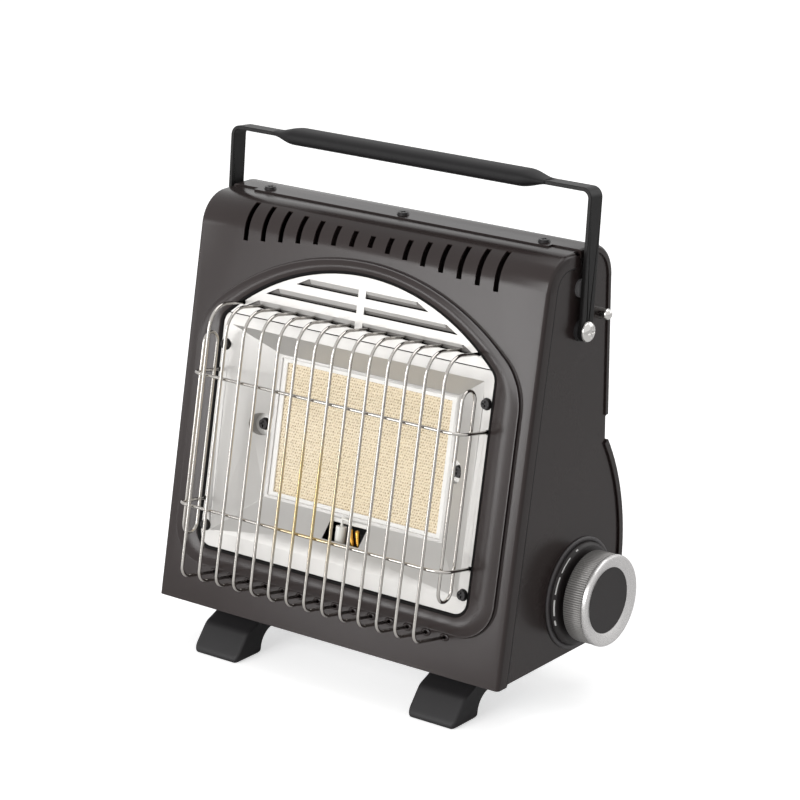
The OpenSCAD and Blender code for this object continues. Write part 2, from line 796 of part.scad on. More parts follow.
module pilot_bracket() {
    color("#9b9d9f") on_front() difference() {
        translate([-1.4 * pilot_half_w, pilot_plate_s, -pilot_n - 5])
            cube([2.8 * pilot_half_w, pilot_plate_t, pilot_n + 5 - pilot_plate_n]);
        pilot_holes(electrode_x, electrode_d);
        for (x = rod_x) pilot_holes(x, sense_d);
    }
}

module pilot_holes(x, d) {
    translate([x, pilot_plate_s - cut, -pilot_n]) rotate([-90, 0, 0])
        cylinder(d = d + 2 * hole_gap, h = pilot_plate_t + 2 * cut);
}

module igniter_electrode() {
    wire = 1.6;
    stem = 22;
    tip = stem + 5;
    collar_d = electrode_d + 2;
    color("#f1efe9") on_front() translate([electrode_x, pilot_plate_s - 2, -pilot_n]) rotate([-90, 0, 0]) {
        cylinder(d = electrode_d, h = stem);
        translate([0, 0, 2 + pilot_plate_t]) difference() {
            cylinder(d = collar_d, h = 4);
            translate([0, 0, -cut]) cylinder(d = electrode_d - 1, h = 6);
        }
        translate([0, 0, stem - 1]) cylinder(d = wire, h = tip - stem + 1);
        translate([0, 0, tip]) sphere(d = wire);
        translate([0, 0, tip]) rotate([0, 100, 0]) cylinder(d = wire, h = electrode_d);
    }
}

module thermocouple() {
    below = 6;
    len = 26;
    color("#c08a3e") on_front() for (x = rod_x)
        translate([x, pilot_plate_s - below, -pilot_n]) rotate([-90, 0, 0]) {
            cylinder(d = sense_d, h = len);
            translate([0, 0, len]) sphere(d = sense_d);
            translate([0, 0, below + pilot_plate_t]) cylinder(d = sense_d + 1.6, h = 2);
        }
}

// Cartridge bay

module heat_shield() {
    w = 2 * (panel_in - pan_t - side_gap);
    color("#b3b5b7") at_case() difference() {
        along_x(w) {
            translate([shield_y - 8, pan_top]) square([8 + shield_t, shield_t]);
            translate([shield_y, pan_top]) square([shield_t, shield_knee - pan_top]);
            polygon([[shield_y, shield_knee], [shield_y + shield_t, shield_knee - shield_t],
                [shield_rear_y, shield_rear_z - shield_t], [shield_rear_y, shield_rear_z],
                [shield_rear_y - shield_t, shield_rear_z]]);
            translate([shield_rear_y - shield_t, shield_rear_z - shield_t])
                square([shield_t, shield_top - shield_rear_z + shield_t]);
        }
        translate([pipe_x, venturi_y, shield_knee]) cylinder(d = pipe_d + 4, h = 60);
    }
}

module cartridge_cradle() {
    rib_t = 2;
    rib_h = 14;
    half = 26;
    color("#8d8f91") at_case() for (x = cradle_x) difference() {
        translate([x - rib_t / 2, gas_y - half, pan_top])
            cube([rib_t, pan_rear - pan_t - gas_y + half - 0.5, rib_h]);
        x_rod(x - rib_t, x + rib_t, gas_y, gas_z, 2 * cartridge_r);
    }
}

module valve_body() {
    color("#c4a35a") on_gas_axis() difference() {
        union() {
            translate([0, 0, socket_x]) cylinder(d = socket_d, h = drum_x - socket_x + cut);
            translate([0, 0, drum_x]) cylinder(d = drum_d, h = neck_x - drum_x);
            translate([0, 0, neck_x]) cylinder(d = sleeve_d + 8, h = bracket_x - neck_x);
        }
        translate([0, 0, socket_x - cut]) cylinder(d = socket_bore, h = socket_depth + cut);
        translate([0, 0, neck_x - 6]) cylinder(d = sleeve_d, h = far);
        translate([0, 0, spindle_end - knob_push - 1]) cylinder(d = spindle_d + 0.4, h = far);
    }
}

module socket_magnet() {
    color("#5a5c5e") on_gas_axis() difference() {
        translate([0, 0, socket_x - 3]) cylinder(d = socket_d + 6, h = 3);
        translate([0, 0, socket_x - 4]) cylinder(d = socket_bore + 2, h = 5);
    }
}

module valve_bracket() {
    top = gas_z + drum_d / 2 + 6;
    low = pan_top + pan_wall;
    color("#a3a5a7") at_case() difference() {
        union() {
            translate([bracket_x + bracket_t / 2, 0, 0]) along_x(bracket_t)
                polygon([[bracket_front, pan_top], [bracket_rear, pan_top], [bracket_rear, top],
                    [gas_y - drum_d / 4, top], [bracket_front, shield_knee - 6]]);
            translate([bracket_x, bracket_front, low])
                cube([panel_in - bracket_x, bracket_t, shield_knee - 6 - low]);
            translate([bracket_x, bracket_rear - bracket_t, low])
                cube([panel_in - bracket_x, bracket_t, top - low]);
        }
        x_rod(bracket_x - cut, panel_in + cut, gas_y, gas_z, spindle_d + 2);
    }
}

module piezo_igniter() {
    len = 32;
    wide = 11;
    tall = 13;
    color("#2c2c2e") at_case() translate([bracket_x - len, gas_y - drum_d / 2 - 1 - wide, gas_z - 19]) {
        cube([len, wide, tall]);
        translate([0, wide / 2, tall / 2]) rotate([0, -90, 0]) cylinder(d = 6, h = 6);
    }
}

module cam_sleeve() {
    color("#d8d2c4") on_gas_axis() difference() {
        translate([0, 0, neck_x - 5.7]) cylinder(d = sleeve_d - 2 * run_gap, h = bracket_x - neck_x + 5.4);
        translate([0, 0, neck_x - 6]) cylinder(d = spindle_d + 2 * run_gap, h = far);
    }
}

module valve_spindle() {
    color("#b9babb") on_gas_axis() difference() {
        translate([0, 0, spindle_end]) cylinder(d = spindle_d, h = knob_front - 5 - spindle_end);
        translate([-spindle_d, spindle_d / 2 - 1, knob_back - 1]) cube([2 * spindle_d, spindle_d, far]);
    }
}

// Outline of the knurled skirt: V grooves all round
module knurl_outline(r, depth, count) {
    polygon([for (i = [0 : 2 * count - 1])
        (i % 2 == 0 ? r : r - depth) * [cos(i * 180 / count), sin(i * 180 / count)]]);
}

module knob_ring() {
    r = knob_d / 2;
    grip_r = r - 0.5;
    wall = 3;
    rim = 3.4;
    ledge = cap_d / 2;
    color("#b9b7b6") on_gas_axis() translate([0, 0, knob_back]) {
        difference() {
            linear_extrude(knob_len - rim) knurl_outline(grip_r, knurl_d, knurl_count);
            translate([0, 0, -cut]) cylinder(r = grip_r - wall, h = far, $fn = 96);
        }
        rotate_extrude($fn = 96)
            polygon([[grip_r - wall, knob_len - rim - 2.6], [grip_r - wall + 0.8, knob_len - rim - 2.6],
                [grip_r - wall + 0.8, knob_len - rim], [grip_r - knurl_d, knob_len - rim],
                [r, knob_len - rim + 0.6], [r, knob_len - 1.4], [r - 0.4, knob_len - 0.5],
                [r - 1.2, knob_len], [r - 2, knob_len], [ledge, knob_len - cap_sink],
                [ledge, knob_len - cap_sink - 2], [ledge - 1.2, knob_len - cap_sink - 2],
                [ledge - 1.2, knob_len - rim - 2.6]]);
    }
}

module knob_cap() {
    color("#353233") on_gas_axis() difference() {
        union() {
            translate([0, 0, knob_front - cap_sink - 2]) cylinder(d = cap_d - 2 * run_gap, h = 2);
            translate([0, 0, knob_back + 0.4]) cylinder(d = spindle_d + 7, h = knob_len - 4.5);
        }
        difference() {
            translate([0, 0, knob_back - 1]) cylinder(d = spindle_d + 2 * run_gap, h = knob_len - 4 + 0.05);
            translate([-spindle_d, spindle_d / 2 - 1 + run_gap, knob_back - 2])
                cube([2 * spindle_d, spindle_d, knob_len]);
        }
    }
}

module dial_plate() {
    marks = 9;
    color("#2f2c2d") on_gas_axis() difference() {
        translate([0, 0, side_x]) rotate_extrude($fn = 96)
            polygon([[spindle_d / 2 + 2, 0], [dial_d / 2 + dial_flange, 0],
                [dial_d / 2 + dial_flange, 0.8], [dial_d / 2 + dial_flange - 0.6, 1.4], [dial_d / 2, 1.4],
                [dial_d / 2, dial_t - 2], [dial_d / 2 - 2, dial_t], [spindle_d / 2 + 2, dial_t]]);
        for (i = [0 : marks - 1]) rotate([0, 0, 180 + i * 15])
            translate([dial_d / 2 - 2.4, -0.5, side_x + dial_t - 2.6]) cube([4, 1, 4]);
    }
}

// Wire guard

// A wire bend in the plane of Y and Z: a quarter turn from +Y at the origin towards -Z
module wire_bend(r, d) {
    translate([0, 0, -r]) rotate([0, -90, 0]) rotate_extrude(angle = 90)
        translate([r, 0]) circle(d = d);
}

module guard_upright() {
    lead_in = 3;
    top = hook_s - top_hook_r;
    translate([0, guard_low + hook_r, guard_out]) rotate([-90, 0, 0])
        cylinder(d = wire_d, h = top - guard_low - hook_r);
    translate([0, top, guard_out]) wire_bend(top_hook_r, wire_d);
    translate([0, hook_s, -flange_back]) cylinder(d = wire_d, h = guard_out - top_hook_r + flange_back);
    translate([0, guard_low + hook_r, guard_out]) mirror([0, 1, 0]) wire_bend(hook_r, wire_d);
    translate([0, guard_low, -sheet - lead_in])
        cylinder(d = wire_d, h = guard_out - hook_r + sheet + lead_in);
}

module guard_uprights() {
    color("#c9c6c1") on_front() for (x = upright_x) translate([x, 0, 0]) guard_upright();
}

bar_out = guard_out - wire_d - run_gap;
loop_back = 4.85;
loop_x = bar_half_w - bar_bend_r
    + sqrt(pow(bar_bend_r - wire_d - run_gap, 2) - pow(bar_bend_r - loop_back, 2));

module guard_crossbar() {
    straight = bar_half_w - bar_bend_r;
    leg_end = flange_back + 4;
    translate([-straight, 0, bar_out]) rotate([0, 90, 0]) cylinder(d = wire_d, h = 2 * straight);
    both_sides() {
        translate([straight, 0, bar_out]) rotate([0, 0, -90]) wire_bend(bar_bend_r, wire_d);
        translate([bar_half_w, 0, -leg_end]) cylinder(d = wire_d, h = bar_out - bar_bend_r + leg_end);
    }
}

module guard_crossbars() {
    color("#c9c6c1") on_front() for (s = [bar_low, bar_high]) translate([0, s, 0]) guard_crossbar();
}

// Closed loop that fills each side between the guard and the front
module guard_side_loop() {
    r = loop_w / 2;
    straight = loop_len - loop_w;
    translate([loop_x, loop_s, bar_out - loop_back - r]) {
        for (side = [-1, 1]) translate([0, -straight / 2, side * r]) rotate([-90, 0, 0])
            cylinder(d = wire_d, h = straight);
        for (end = [0, 180]) rotate([end, 0, 0]) translate([0, straight / 2, 0]) rotate([0, -90, 0])
            rotate_extrude(angle = 180) translate([r, 0]) circle(d = wire_d);
    }
}

module guard_side_loops() {
    color("#c9c6c1") on_front() both_sides() guard_side_loop();
}

// Feet

// Side view of a foot: a sloped toe, a level pad and a hollow heel
module foot_outline() {
    difference() {
        polygon([[toe_y, -foot_h], [toe_y, toe_h - foot_h], [instep_y, instep_z], [ramp_y, ramp_z],
            [neck_y, 0], [heel_y, 0], [heel_y, heel_z], [toe_y + pad_len, -foot_h]]);
        translate([toe_y + pad_len + heel_r, -foot_h]) circle(heel_r);
    }
}

module foot() {
    difference() {
        along_x(foot_w) foot_outline();
        translate([0, foot_screw_y, -10]) cylinder(d = shank_d + 2 * hole_gap, h = 12);
    }
}

module front_foot(side) { at_case() translate([side * foot_front_x, 0, 0]) foot(); }

module rear_foot(side) {
    at_case() translate([side * foot_rear_x, foot_rear_y + foot_screw_y, 0])
        mirror([0, 1, 0]) difference() {
            foot();
            translate([-foot_w, -far / 2, 0]) cube([2 * foot_w, far, far]);
        }
}

module foot_front_left() { color("#363536") front_foot(-1); }
module foot_front_right() { color("#363536") front_foot(1); }
module foot_rear_left() { color("#363536") rear_foot(-1); }
module foot_rear_right() { color("#363536") rear_foot(1); }

// Fasteners

module pan_screw(head_d, head_h, len) {
    difference() {
        cylinder(d1 = head_d, d2 = head_d - 1.6, h = head_h);
        for (a = [0, 90]) rotate([0, 0, a]) translate([-head_d / 4, -0.5, head_h - 0.8])
            cube([head_d / 2, 1, 2]);
    }
    translate([0, 0, -len]) cylinder(d = shank_d, h = len);
}

module top_screws() {
    color("#2a2829") at_case() for (x = [-top_screw_x, 0, top_screw_x])
        translate([x, top_screw_y, case_h]) pan_screw(8, 1.6, 5);
}

module reflector_screws() {
    color("#2a2829") on_front() both_sides() for (s = [screw_low, screw_high])
        translate([screw_x, s, -band_back]) pan_screw(7.5, 2.2, 6);
}

module burner_screws() {
    color("#2a2829") on_front() both_sides() translate([burner_screw_x, tile_s, -floor_n])
        pan_screw(8, 2.4, 8);
}

module foot_screws() {
    color("#8d8f91") at_case() both_sides() {
        translate([foot_front_x, foot_screw_y, pan_top]) pan_screw(8, 2, 10);
        translate([foot_rear_x, foot_rear_y, pan_top]) pan_screw(8, 2, 10);
    }
}

// Handle

// The handle's own frame: X across, Z up along the legs from the pivot
module on_handle() { at_case() translate([0, pivot_y, pivot_z]) rotate([-handle_lean, 0, 0]) children(); }

// Front view of the bent strap, inset by k
module strap_outline(k) {
    half = strap_out - k;
    bend = strap_bend - k;
    translate([-half, -strap_w]) square([2 * half, handle_rise - strap_bend + strap_w]);
    translate([bend - half, 0]) square([2 * (half - bend), handle_rise - k]);
    for (side = [-1, 1]) translate([side * (half - bend), handle_rise - strap_bend]) circle(bend);
}

module handle_strap() {
    color("#2b2a2b") on_handle() difference() {
        intersection() {
            rotate([90, 0, 0]) linear_extrude(strap_w, center = true) difference() {
                strap_outline(0);
                strap_outline(strap_t);
            }
            along_x(far) {
                circle(d = strap_w);
                translate([-strap_w / 2, 0]) square([strap_w, far]);
            }
        }
        x_rod(-far / 2, far / 2, 0, 0, pivot_d + 2 * run_gap);
    }
}

// Moulded grip: a flat oval bar with tapered ends, slotted for the strap
module handle_grip() {
    taper = 16;
    half = grip_len / 2;
    thin = strap_t / 2 + 1.2;
    mid = handle_rise - strap_t / 2;
    color("#262526") on_handle() translate([0, 0, mid]) difference() {
        intersection() {
            rotate([90, 0, 0]) linear_extrude(grip_w, center = true)
                polygon([[-half, -thin], [taper - half, -grip_t / 2], [half - taper, -grip_t / 2],
                    [half, -thin], [half, thin], [half - taper, grip_t / 2],
                    [taper - half, grip_t / 2], [-half, thin]]);
            along_x(grip_len) {
                square([grip_w - grip_t, grip_t], center = true);
                for (side = [-1, 1]) translate([side * (grip_w - grip_t) / 2, 0]) circle(d = grip_t);
            }
        }
        cube([grip_len + 2 * cut, strap_w + 2 * run_gap, strap_t + 2 * run_gap], center = true);
    }
}

module handle_washers() {
    color("#1f1e1f") at_case() both_sides() difference() {
        x_rod(side_x, strap_in - side_gap, pivot_y, pivot_z, 13);
        x_rod(side_x - cut, strap_in + cut, pivot_y, pivot_z, pivot_d + 2 * hole_gap);
    }
}

module handle_pivot_screws() {
    head_x = strap_out + side_gap;
    color("#cfcdca") at_case() both_sides() {
        x_rod(panel_in - 4, head_x, pivot_y, pivot_z, pivot_d);
        translate([head_x, pivot_y, pivot_z]) rotate([0, 90, 0]) difference() {
            cylinder(d1 = 14, d2 = 9, h = 3.4);
            translate([-4, -0.6, 2.4]) cube([8, 1.2, 2]);
        }
        x_rod(panel_in - 4, panel_in, pivot_y, pivot_z, 10);
    }
}

module handle_stop_pins() {
    end_x = strap_out + 1.5;
    color("#d3d0cb") at_case() both_sides() {
        x_rod(panel_in - 2, side_x, stop_y, stop_z, shank_d);
        x_rod(side_x, end_x, stop_y, stop_z, stop_d);
        translate([end_x, stop_y, stop_z]) intersection() {
            sphere(d = stop_d);
            translate([0, -stop_d, -stop_d]) cube(2 * stop_d);
        }
    }
}

module handle_rub_buttons() {
    color("#3b3a3b") at_case() both_sides() {
        x_rod(panel_in - 2, side_x, button_y, button_z, shank_d);
        x_rod(side_x, strap_in - side_gap - 0.1, button_y, button_z, 11);
    }
}

// Curved rear cover, hinged along its upper edge

// Side view of an arc of the cover between two radii and two angles
module cover_arc(r0, r1, a0, a1) {
    reach = 1.4 * door_r;
    translate([door_cy, door_cz]) intersection() {
        difference() {
            circle(r1, $fn = 120);
            circle(r0, $fn = 120);
        }
        polygon([[0, 0], for (a = [a0, (a0 + a1) / 2, a1]) reach * [cos(a), sin(a)]]);
    }
}

module rear_cover() {
    inner = 2 * (panel_in - side_gap);
    outer = 2 * (side_x + side_gap + rim_t);
    hem_y = door_cy + door_r * cos(door_low_a) - door_t;
    color("#3d3839") at_case() difference() {
        union() {
            along_x(inner) {
                cover_arc(door_r - door_t, door_r, door_low_a, hinge_a);
                translate([hinge_y, hinge_z]) circle(knuckle_r);
                translate([hem_y - hem_in, sheet]) square([hem_in + door_t / 2, hem_t]);
            }
            along_x(outer) cover_arc(door_r - door_t, door_r, door_low_a, door_corner_a);
            both_sides() translate([side_x + side_gap + rim_t / 2, 0, 0]) along_x(rim_t)
                cover_arc(door_r - door_rim, door_r, door_low_a, door_corner_a);
        }
        x_rod(-far / 2, far / 2, hinge_y, hinge_z, rod_d + 2 * run_gap);
    }
}

module cover_hinge_rod() {
    color("#b9babb") at_case() {
        x_rod(-side_x, side_x, hinge_y, hinge_z, rod_d);
    }
}

// Leaf spring on the pan's rear wall that presses on the cover's hem
module cover_catch() {
    leaf_w = 24;
    leaf_t = 0.8;
    leaf_z = sheet + hem_t + 0.5;
    color("#b9babb") at_case() translate([-leaf_w / 2, pan_rear, 0]) {
        translate([0, 0, leaf_z]) cube([leaf_w, 8, leaf_t]);
        translate([0, 0, leaf_z]) cube([leaf_w, leaf_t, sheet + pan_wall - leaf_z]);
    }
}

front_shell();
side_panel_left();
side_panel_right();
rear_panel();
base_pan();
louvre_plate();
reflector_tray();
tile_frame();
ceramic_tile();
tile_gasket();
burner_box();
venturi_tube();
injector();
gas_pipe();
igniter_electrode();
thermocouple();
pilot_bracket();
heat_shield();
cartridge_cradle();
valve_body();
socket_magnet();
valve_bracket();
piezo_igniter();
cam_sleeve();
valve_spindle();
knob_ring();
knob_cap();
dial_plate();
guard_uprights();
guard_crossbars();
guard_side_loops();
foot_front_left();
foot_front_right();
foot_rear_left();
foot_rear_right();
top_screws();
reflector_screws();
burner_screws();
foot_screws();
handle_strap();
handle_grip();
handle_washers();
handle_pivot_screws();
handle_stop_pins();
handle_rub_buttons();
rear_cover();
cover_hinge_rod();
cover_catch();
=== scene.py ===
"""Looks of a portable butane heater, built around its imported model, in metres."""
import math
import bpy
import numpy as np
from mathutils import Matrix, Vector


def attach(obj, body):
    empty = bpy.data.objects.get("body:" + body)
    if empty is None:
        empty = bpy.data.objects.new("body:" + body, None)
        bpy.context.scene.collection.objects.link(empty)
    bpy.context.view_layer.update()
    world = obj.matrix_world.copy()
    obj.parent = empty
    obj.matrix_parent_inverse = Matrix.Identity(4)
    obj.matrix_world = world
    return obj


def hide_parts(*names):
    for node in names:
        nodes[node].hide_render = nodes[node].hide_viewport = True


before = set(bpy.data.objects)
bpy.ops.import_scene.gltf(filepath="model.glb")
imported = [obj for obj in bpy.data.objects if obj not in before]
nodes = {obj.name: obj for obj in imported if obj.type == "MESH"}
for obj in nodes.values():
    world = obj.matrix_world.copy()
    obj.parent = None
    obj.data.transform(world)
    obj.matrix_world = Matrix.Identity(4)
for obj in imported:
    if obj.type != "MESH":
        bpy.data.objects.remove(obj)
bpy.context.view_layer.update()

# Driving sizes in mm, as in the part: the casing's frame starts at its bottom front edge
MM = 0.001
LEAN = math.radians(11.2)
CASE_D, FOOT_H, SIDE_X, PANEL_IN = 113.5, 32.0, 131.5, 130.5


# Shapes

def row(points):
    """Points of the casing frame in mm (from the bottom front edge) as metres in the row frame."""
    return (np.asarray(points, float) + (0, -CASE_D / 2, FOOT_H)) * MM


def front(x, s, out):
    """Points on the leaning front face: x across, s up the face, out in front of it, all in mm."""
    x, s, out = np.broadcast_arrays(np.asarray(x, float), s, out)
    return np.stack([x, s * math.sin(LEAN) - out * math.cos(LEAN),
                     s * math.cos(LEAN) + out * math.sin(LEAN)], -1)


def mesh_piece(name, points, faces):
    """An object with a smooth mesh of the given points and faces, at the origin."""
    mesh = bpy.data.meshes.new(name)
    mesh.from_pydata(points.reshape(-1, 3).tolist(), [], faces)
    mesh.polygons.foreach_set("use_smooth", np.ones(len(faces), bool))
    mesh.update()
    piece = bpy.data.objects.new(name, mesh)
    bpy.context.scene.collection.objects.link(piece)
    return piece


def quads(nu, nv, wrap_u=False, wrap_v=False):
    """Faces of a grid of nu by nv points; a wrapped side joins its last line to its first."""
    index = np.arange(nu * nv).reshape(nu, nv)
    if wrap_u:
        index = np.concatenate([index, index[:1]])
    if wrap_v:
        index = np.concatenate([index, index[:, :1]], 1)
    corners = [index[:-1, :-1], index[1:, :-1], index[1:, 1:], index[:-1, 1:]]
    return np.stack(corners, -1).reshape(-1, 4).tolist()


def ends(count, ring):
    """A flat face over each end of an open tube of count rings."""
    return [list(range(ring)), list(range(count * ring - 1, (count - 1) * ring - 1, -1))]


def join(name, pieces):
    """One object made of several meshes."""
    base = pieces[0]
    with bpy.context.temp_override(active_object=base, selected_editable_objects=pieces):
        bpy.ops.object.join()
    base.name = base.data.name = name
    return base


def marked(piece, name, amount):
    """Stores an amount for each point of a piece, which its material reads."""
    piece.data.attributes.new(name, "FLOAT", "POINT").data.foreach_set("value", np.ravel(amount))
    return piece


def thickened(piece, thickness):
    """Gives a sheet its thickness in mm."""
    piece.modifiers.new("sheet", "SOLIDIFY").thickness = thickness * MM
    return piece


def circle(count, way=1):
    """Angles of points round a circle, taken one way (1) or the other (-1)."""
    return way * np.linspace(0, 2 * np.pi, count, endpoint=False)


def arc(centre, r, a0, a1, n=9):
    """Points of a flat arc of radius r from angle a0 to a1, in degrees."""
    a = np.radians(np.linspace(a0, a1, n))
    return np.stack([centre[0] + r * np.cos(a), centre[1] + r * np.sin(a)], 1)


def run(start, end, n):
    """Points of a straight run between two flat points, without its ends."""
    return np.linspace(start, end, n + 2)[1:-1]


def tube(name, path, r, closed=False, sides=14):
    """A round wire: a circle of radius r carried along a path that lies in one plane.

    At each point the circle lies across the path's direction, spanned by the plane's normal and by
    the direction's cross product with it. An open wire is closed by a flat face at each end."""
    if closed:
        along = np.roll(path, -1, 0) - np.roll(path, 1, 0)
    else:
        along = np.gradient(path, axis=0)
    along /= np.linalg.norm(along, axis=1, keepdims=True)
    flat = np.linalg.svd(path - path.mean(0))[2][2]
    across = np.cross(flat, along)
    a = circle(sides)
    ring = r * (np.cos(a)[None, :, None] * flat + np.sin(a)[None, :, None] * across[:, None])
    faces = quads(len(path), sides, wrap_u=closed, wrap_v=True)
    if not closed:
        faces += ends(len(path), sides)
    return mesh_piece(name, row(path[:, None] + ring), faces)


def turned(name, profile, base, y, z, side=1, sides=72, closed=True, drop=0.0):
    """A turned piece: a profile of radius and height carried round the axis along x through y and z.

    Heights start at the base, a distance from the casing's middle towards the given side. The drop
    is taken off the radius, point by point. A closed profile is a ring; an open one gets a flat face
    over each end."""
    profile = np.asarray(profile, float)
    a = circle(sides, -side)
    r, h = profile[:, :1] - drop, base + profile[:, 1:]
    points = np.stack([side * h + 0 * a, y - r * np.sin(a), z + r * np.cos(a)], -1)
    faces = quads(len(profile), sides, wrap_u=closed, wrap_v=True)
    if not closed:
        faces += ends(len(profile), sides)
    return mesh_piece(name, row(points), faces)


# Materials

# Size in mm of the slow drift of tone over a surface. The grain of mouldings, wire and ink is finer than a
# pixel, so it is drawn at 0.7 mm and more, coarse enough to show.
DRIFT = 45.0


def linear(code, alpha=1.0):
    """A hex sRGB colour as linear RGBA."""
    c = np.array([int(code[i:i + 2], 16) for i in (1, 3, 5)]) / 255
    c = np.where(c <= 0.04045, c / 12.92, ((c + 0.055) / 1.055) ** 2.4)
    return (*c.tolist(), alpha)


def add(tree, kind, inputs=None, **settings):
    """Adds a node with its settings; an input that is a socket is linked, and any other value is set."""
    node = tree.nodes.new(kind)
    for key, value in settings.items():
        setattr(node, key, value)
    for key, value in (inputs or {}).items():
        if isinstance(value, bpy.types.NodeSocket):
            tree.links.new(value, node.inputs[key])
        else:
            node.inputs[key].default_value = value
    return node


def material(name, **constant):
    """A new material with its shader's constant inputs set; returns it, its tree and its shader."""
    made = bpy.data.materials.new(name)
    made.use_nodes = True
    tree = made.node_tree
    shader = tree.nodes["Principled BSDF"]
    for key, value in constant.items():
        shader.inputs[key.replace("_", " ")].default_value = value
    return made, tree, shader


def mottled(name, dark, light, rough, grain, depth, metallic=0.0, stretch=(1, 1, 1), mark=None, deep=None,
            **constant):
    """A painted, moulded or rolled surface: tone drifts between two colours, roughness varies, fine grain bumps.

    The grain's size and depth are in mm, as is the drift's. Where a mesh attribute is named, it brings in the
    deep colour."""
    made, tree, shader = material(name, Metallic=metallic, **constant)
    place = add(tree, "ShaderNodeTexCoord").outputs["Object"]
    place = add(tree, "ShaderNodeMapping", {"Vector": place, "Scale": stretch}).outputs["Vector"]
    drift = add(tree, "ShaderNodeTexNoise",
                {"Vector": place, "Scale": 1 / (DRIFT * MM), "Detail": 4.0}).outputs["Fac"]
    fine = add(tree, "ShaderNodeTexNoise",
               {"Vector": place, "Scale": 1 / (grain * MM), "Detail": 2.0}).outputs["Fac"]
    tone = add(tree, "ShaderNodeMix", {"Factor": drift, "A": linear(dark), "B": linear(light)},
               data_type="RGBA").outputs["Result"]
    if mark:
        amount = add(tree, "ShaderNodeAttribute", attribute_name=mark).outputs["Fac"]
        tone = add(tree, "ShaderNodeMix", {"Factor": amount, "A": tone, "B": linear(deep)},
                   data_type="RGBA").outputs["Result"]
    tree.links.new(tone, shader.inputs["Base Color"])
    spread = add(tree, "ShaderNodeMapRange", {"Value": fine, "To Min": rough[0], "To Max": rough[1]})
    tree.links.new(spread.outputs["Result"], shader.inputs["Roughness"])
    bump = add(tree, "ShaderNodeBump", {"Height": fine, "Distance": depth * MM, "Strength": 0.5})
    tree.links.new(bump.outputs["Normal"], shader.inputs["Normal"])
    return made


# Sprayed and baked powder: a soft sheen that runs off over the folds, with a faint orange peel
casing_paint = mottled("powder_coated_steel_graphite", "#292221", "#302827", (0.20, 0.26), 1.1, 0.012,
                       Specular_IOR_Level=0.3)
# Dipped strip: a flat black with a dull edge light
strap_paint = mottled("painted_strip_steel_black", "#151414", "#1b1a1a", (0.38, 0.48), 1.4, 0.04,
                      Specular_IOR_Level=0.2)
# A matt black bead along the mouth's edge: painted shade, the dark line where the band turns in to the plate
mouth_shade_paint = mottled("black_bead_painted_shade", "#0c0b0b", "#121111", (0.55, 0.65), 2.0, 0.02, Specular_IOR_Level=0.1)
# Rolled and plated: streaks along the rolling direction
zinc = mottled("zinc_plated_steel_rolled", "#9fa1a4", "#b4b6b9", (0.28, 0.42), 2.0, 0.03, 1.0, (1, 12, 1))
# Hot-dip coating, pressed bright: a pale, slightly hazy mirror
reflector = mottled("aluminised_steel_bright_pressed", "#c2c0bd", "#cccac7", (0.34, 0.44), 2.4, 0.02, 0.4)
# The same sheet drawn deep into the tray: its colour a shade greyer, painted shade inside the recess
tray_steel = mottled("aluminised_steel_tray_painted_shade", "#b5b3b0", "#bfbdba", (0.34, 0.44), 2.4, 0.02, 0.4)
# Fired enamel: an even, glossy white
frame_white = mottled("vitreous_enamel_white", "#eeece8", "#f4f2ee", (0.28, 0.36), 2.0, 0.01)
# The coating's inner side: dull, and its grey is painted shade inside the slots
blade_steel = mottled("aluminised_steel_painted_slot_shade", "#6c6966", "#777471", (0.46, 0.56), 2.4, 0.02, 0.3)
# Drawn and plated wire: thin bright lines with dark edges, straw-coloured where the burner heats them
nickel = mottled("nickel_plated_wire_drawn", "#b6b2ad", "#c4c0bb", (0.08, 0.14), 1.7, 0.002, 1.0,
                 mark="straw", deep="#c4a752")
# Turned and plated: sharp lights
bright = mottled("bright_plated_steel_turned", "#c8c6c3", "#d8d6d3", (0.14, 0.24), 1.4, 0.01, 1.0)
# Turned brass: warm and slightly dulled
brass = mottled("brass_turned", "#b8964c", "#cbab62", (0.22, 0.34), 2.0, 0.02, 1.0)
# Steel heated to straw: a golden rod
gold_steel = mottled("straw_tempered_steel_drawn", "#b98a3a", "#d0a04c", (0.20, 0.32), 2.0, 0.02, 1.0)
# Drawn tube: a warm red metal
copper = mottled("copper_tube_drawn", "#b0733f", "#c38552", (0.24, 0.36), 2.0, 0.02, 1.0)
# Glazed and fired: white with a wet light
porcelain = mottled("glazed_porcelain", "#ecebe5", "#f5f3ee", (0.12, 0.20), 3.3, 0.02)
# Felted fibre: soft white without any light
fibre = mottled("ceramic_fibre_felt", "#e9e6df", "#f6f4ef", (0.85, 0.95), 1.7, 0.2)
# Pressed and fired cordierite: a dry cream body; the brown in its holes is painted shade
ceramic = mottled("cordierite_pressed_perforated", "#f4e4c4", "#fbefd8", (0.82, 0.90), 1.1, 0.1,
                  mark="hole", deep="#967848", Specular_IOR_Level=0.2)
# Moulded in a spark-eroded tool: an even fine grain that kills the light
plastic = mottled("moulded_plastic_black", "#211d1d", "#272323", (0.42, 0.56), 0.67, 0.05,
                  Specular_IOR_Level=0.35)
# The same in charcoal, duller and coarser where it stands on the ground
foot_plastic = mottled("moulded_plastic_charcoal", "#222122", "#2a292a", (0.46, 0.60), 0.67, 0.06,
                       Specular_IOR_Level=0.3)
# The same in deep black, smoothed by the hand
grip_plastic = mottled("moulded_plastic_grip", "#151415", "#1b1a1b", (0.50, 0.60), 0.83, 0.04,
                       Specular_IOR_Level=0.2)
# Moulding sprayed with satin silver lacquer: a soft grey, kept darker than the rim as painted shade of the flutes,
# and darker still in them as painted shade
knob_silver = mottled("satin_silver_painted_flute_shade", "#92908e", "#a19f9d", (0.38, 0.48), 1.1, 0.004, 0.35,
                      mark="flute", deep="#656361")
# Plated rim, turned: the same silver painted lighter than the skirt as painted light, with a soft light round its
# dish
knob_bright = mottled("plated_silver_painted_light", "#cfcdcc", "#d9d7d6", (0.24, 0.32), 1.1, 0.004, 0.8)
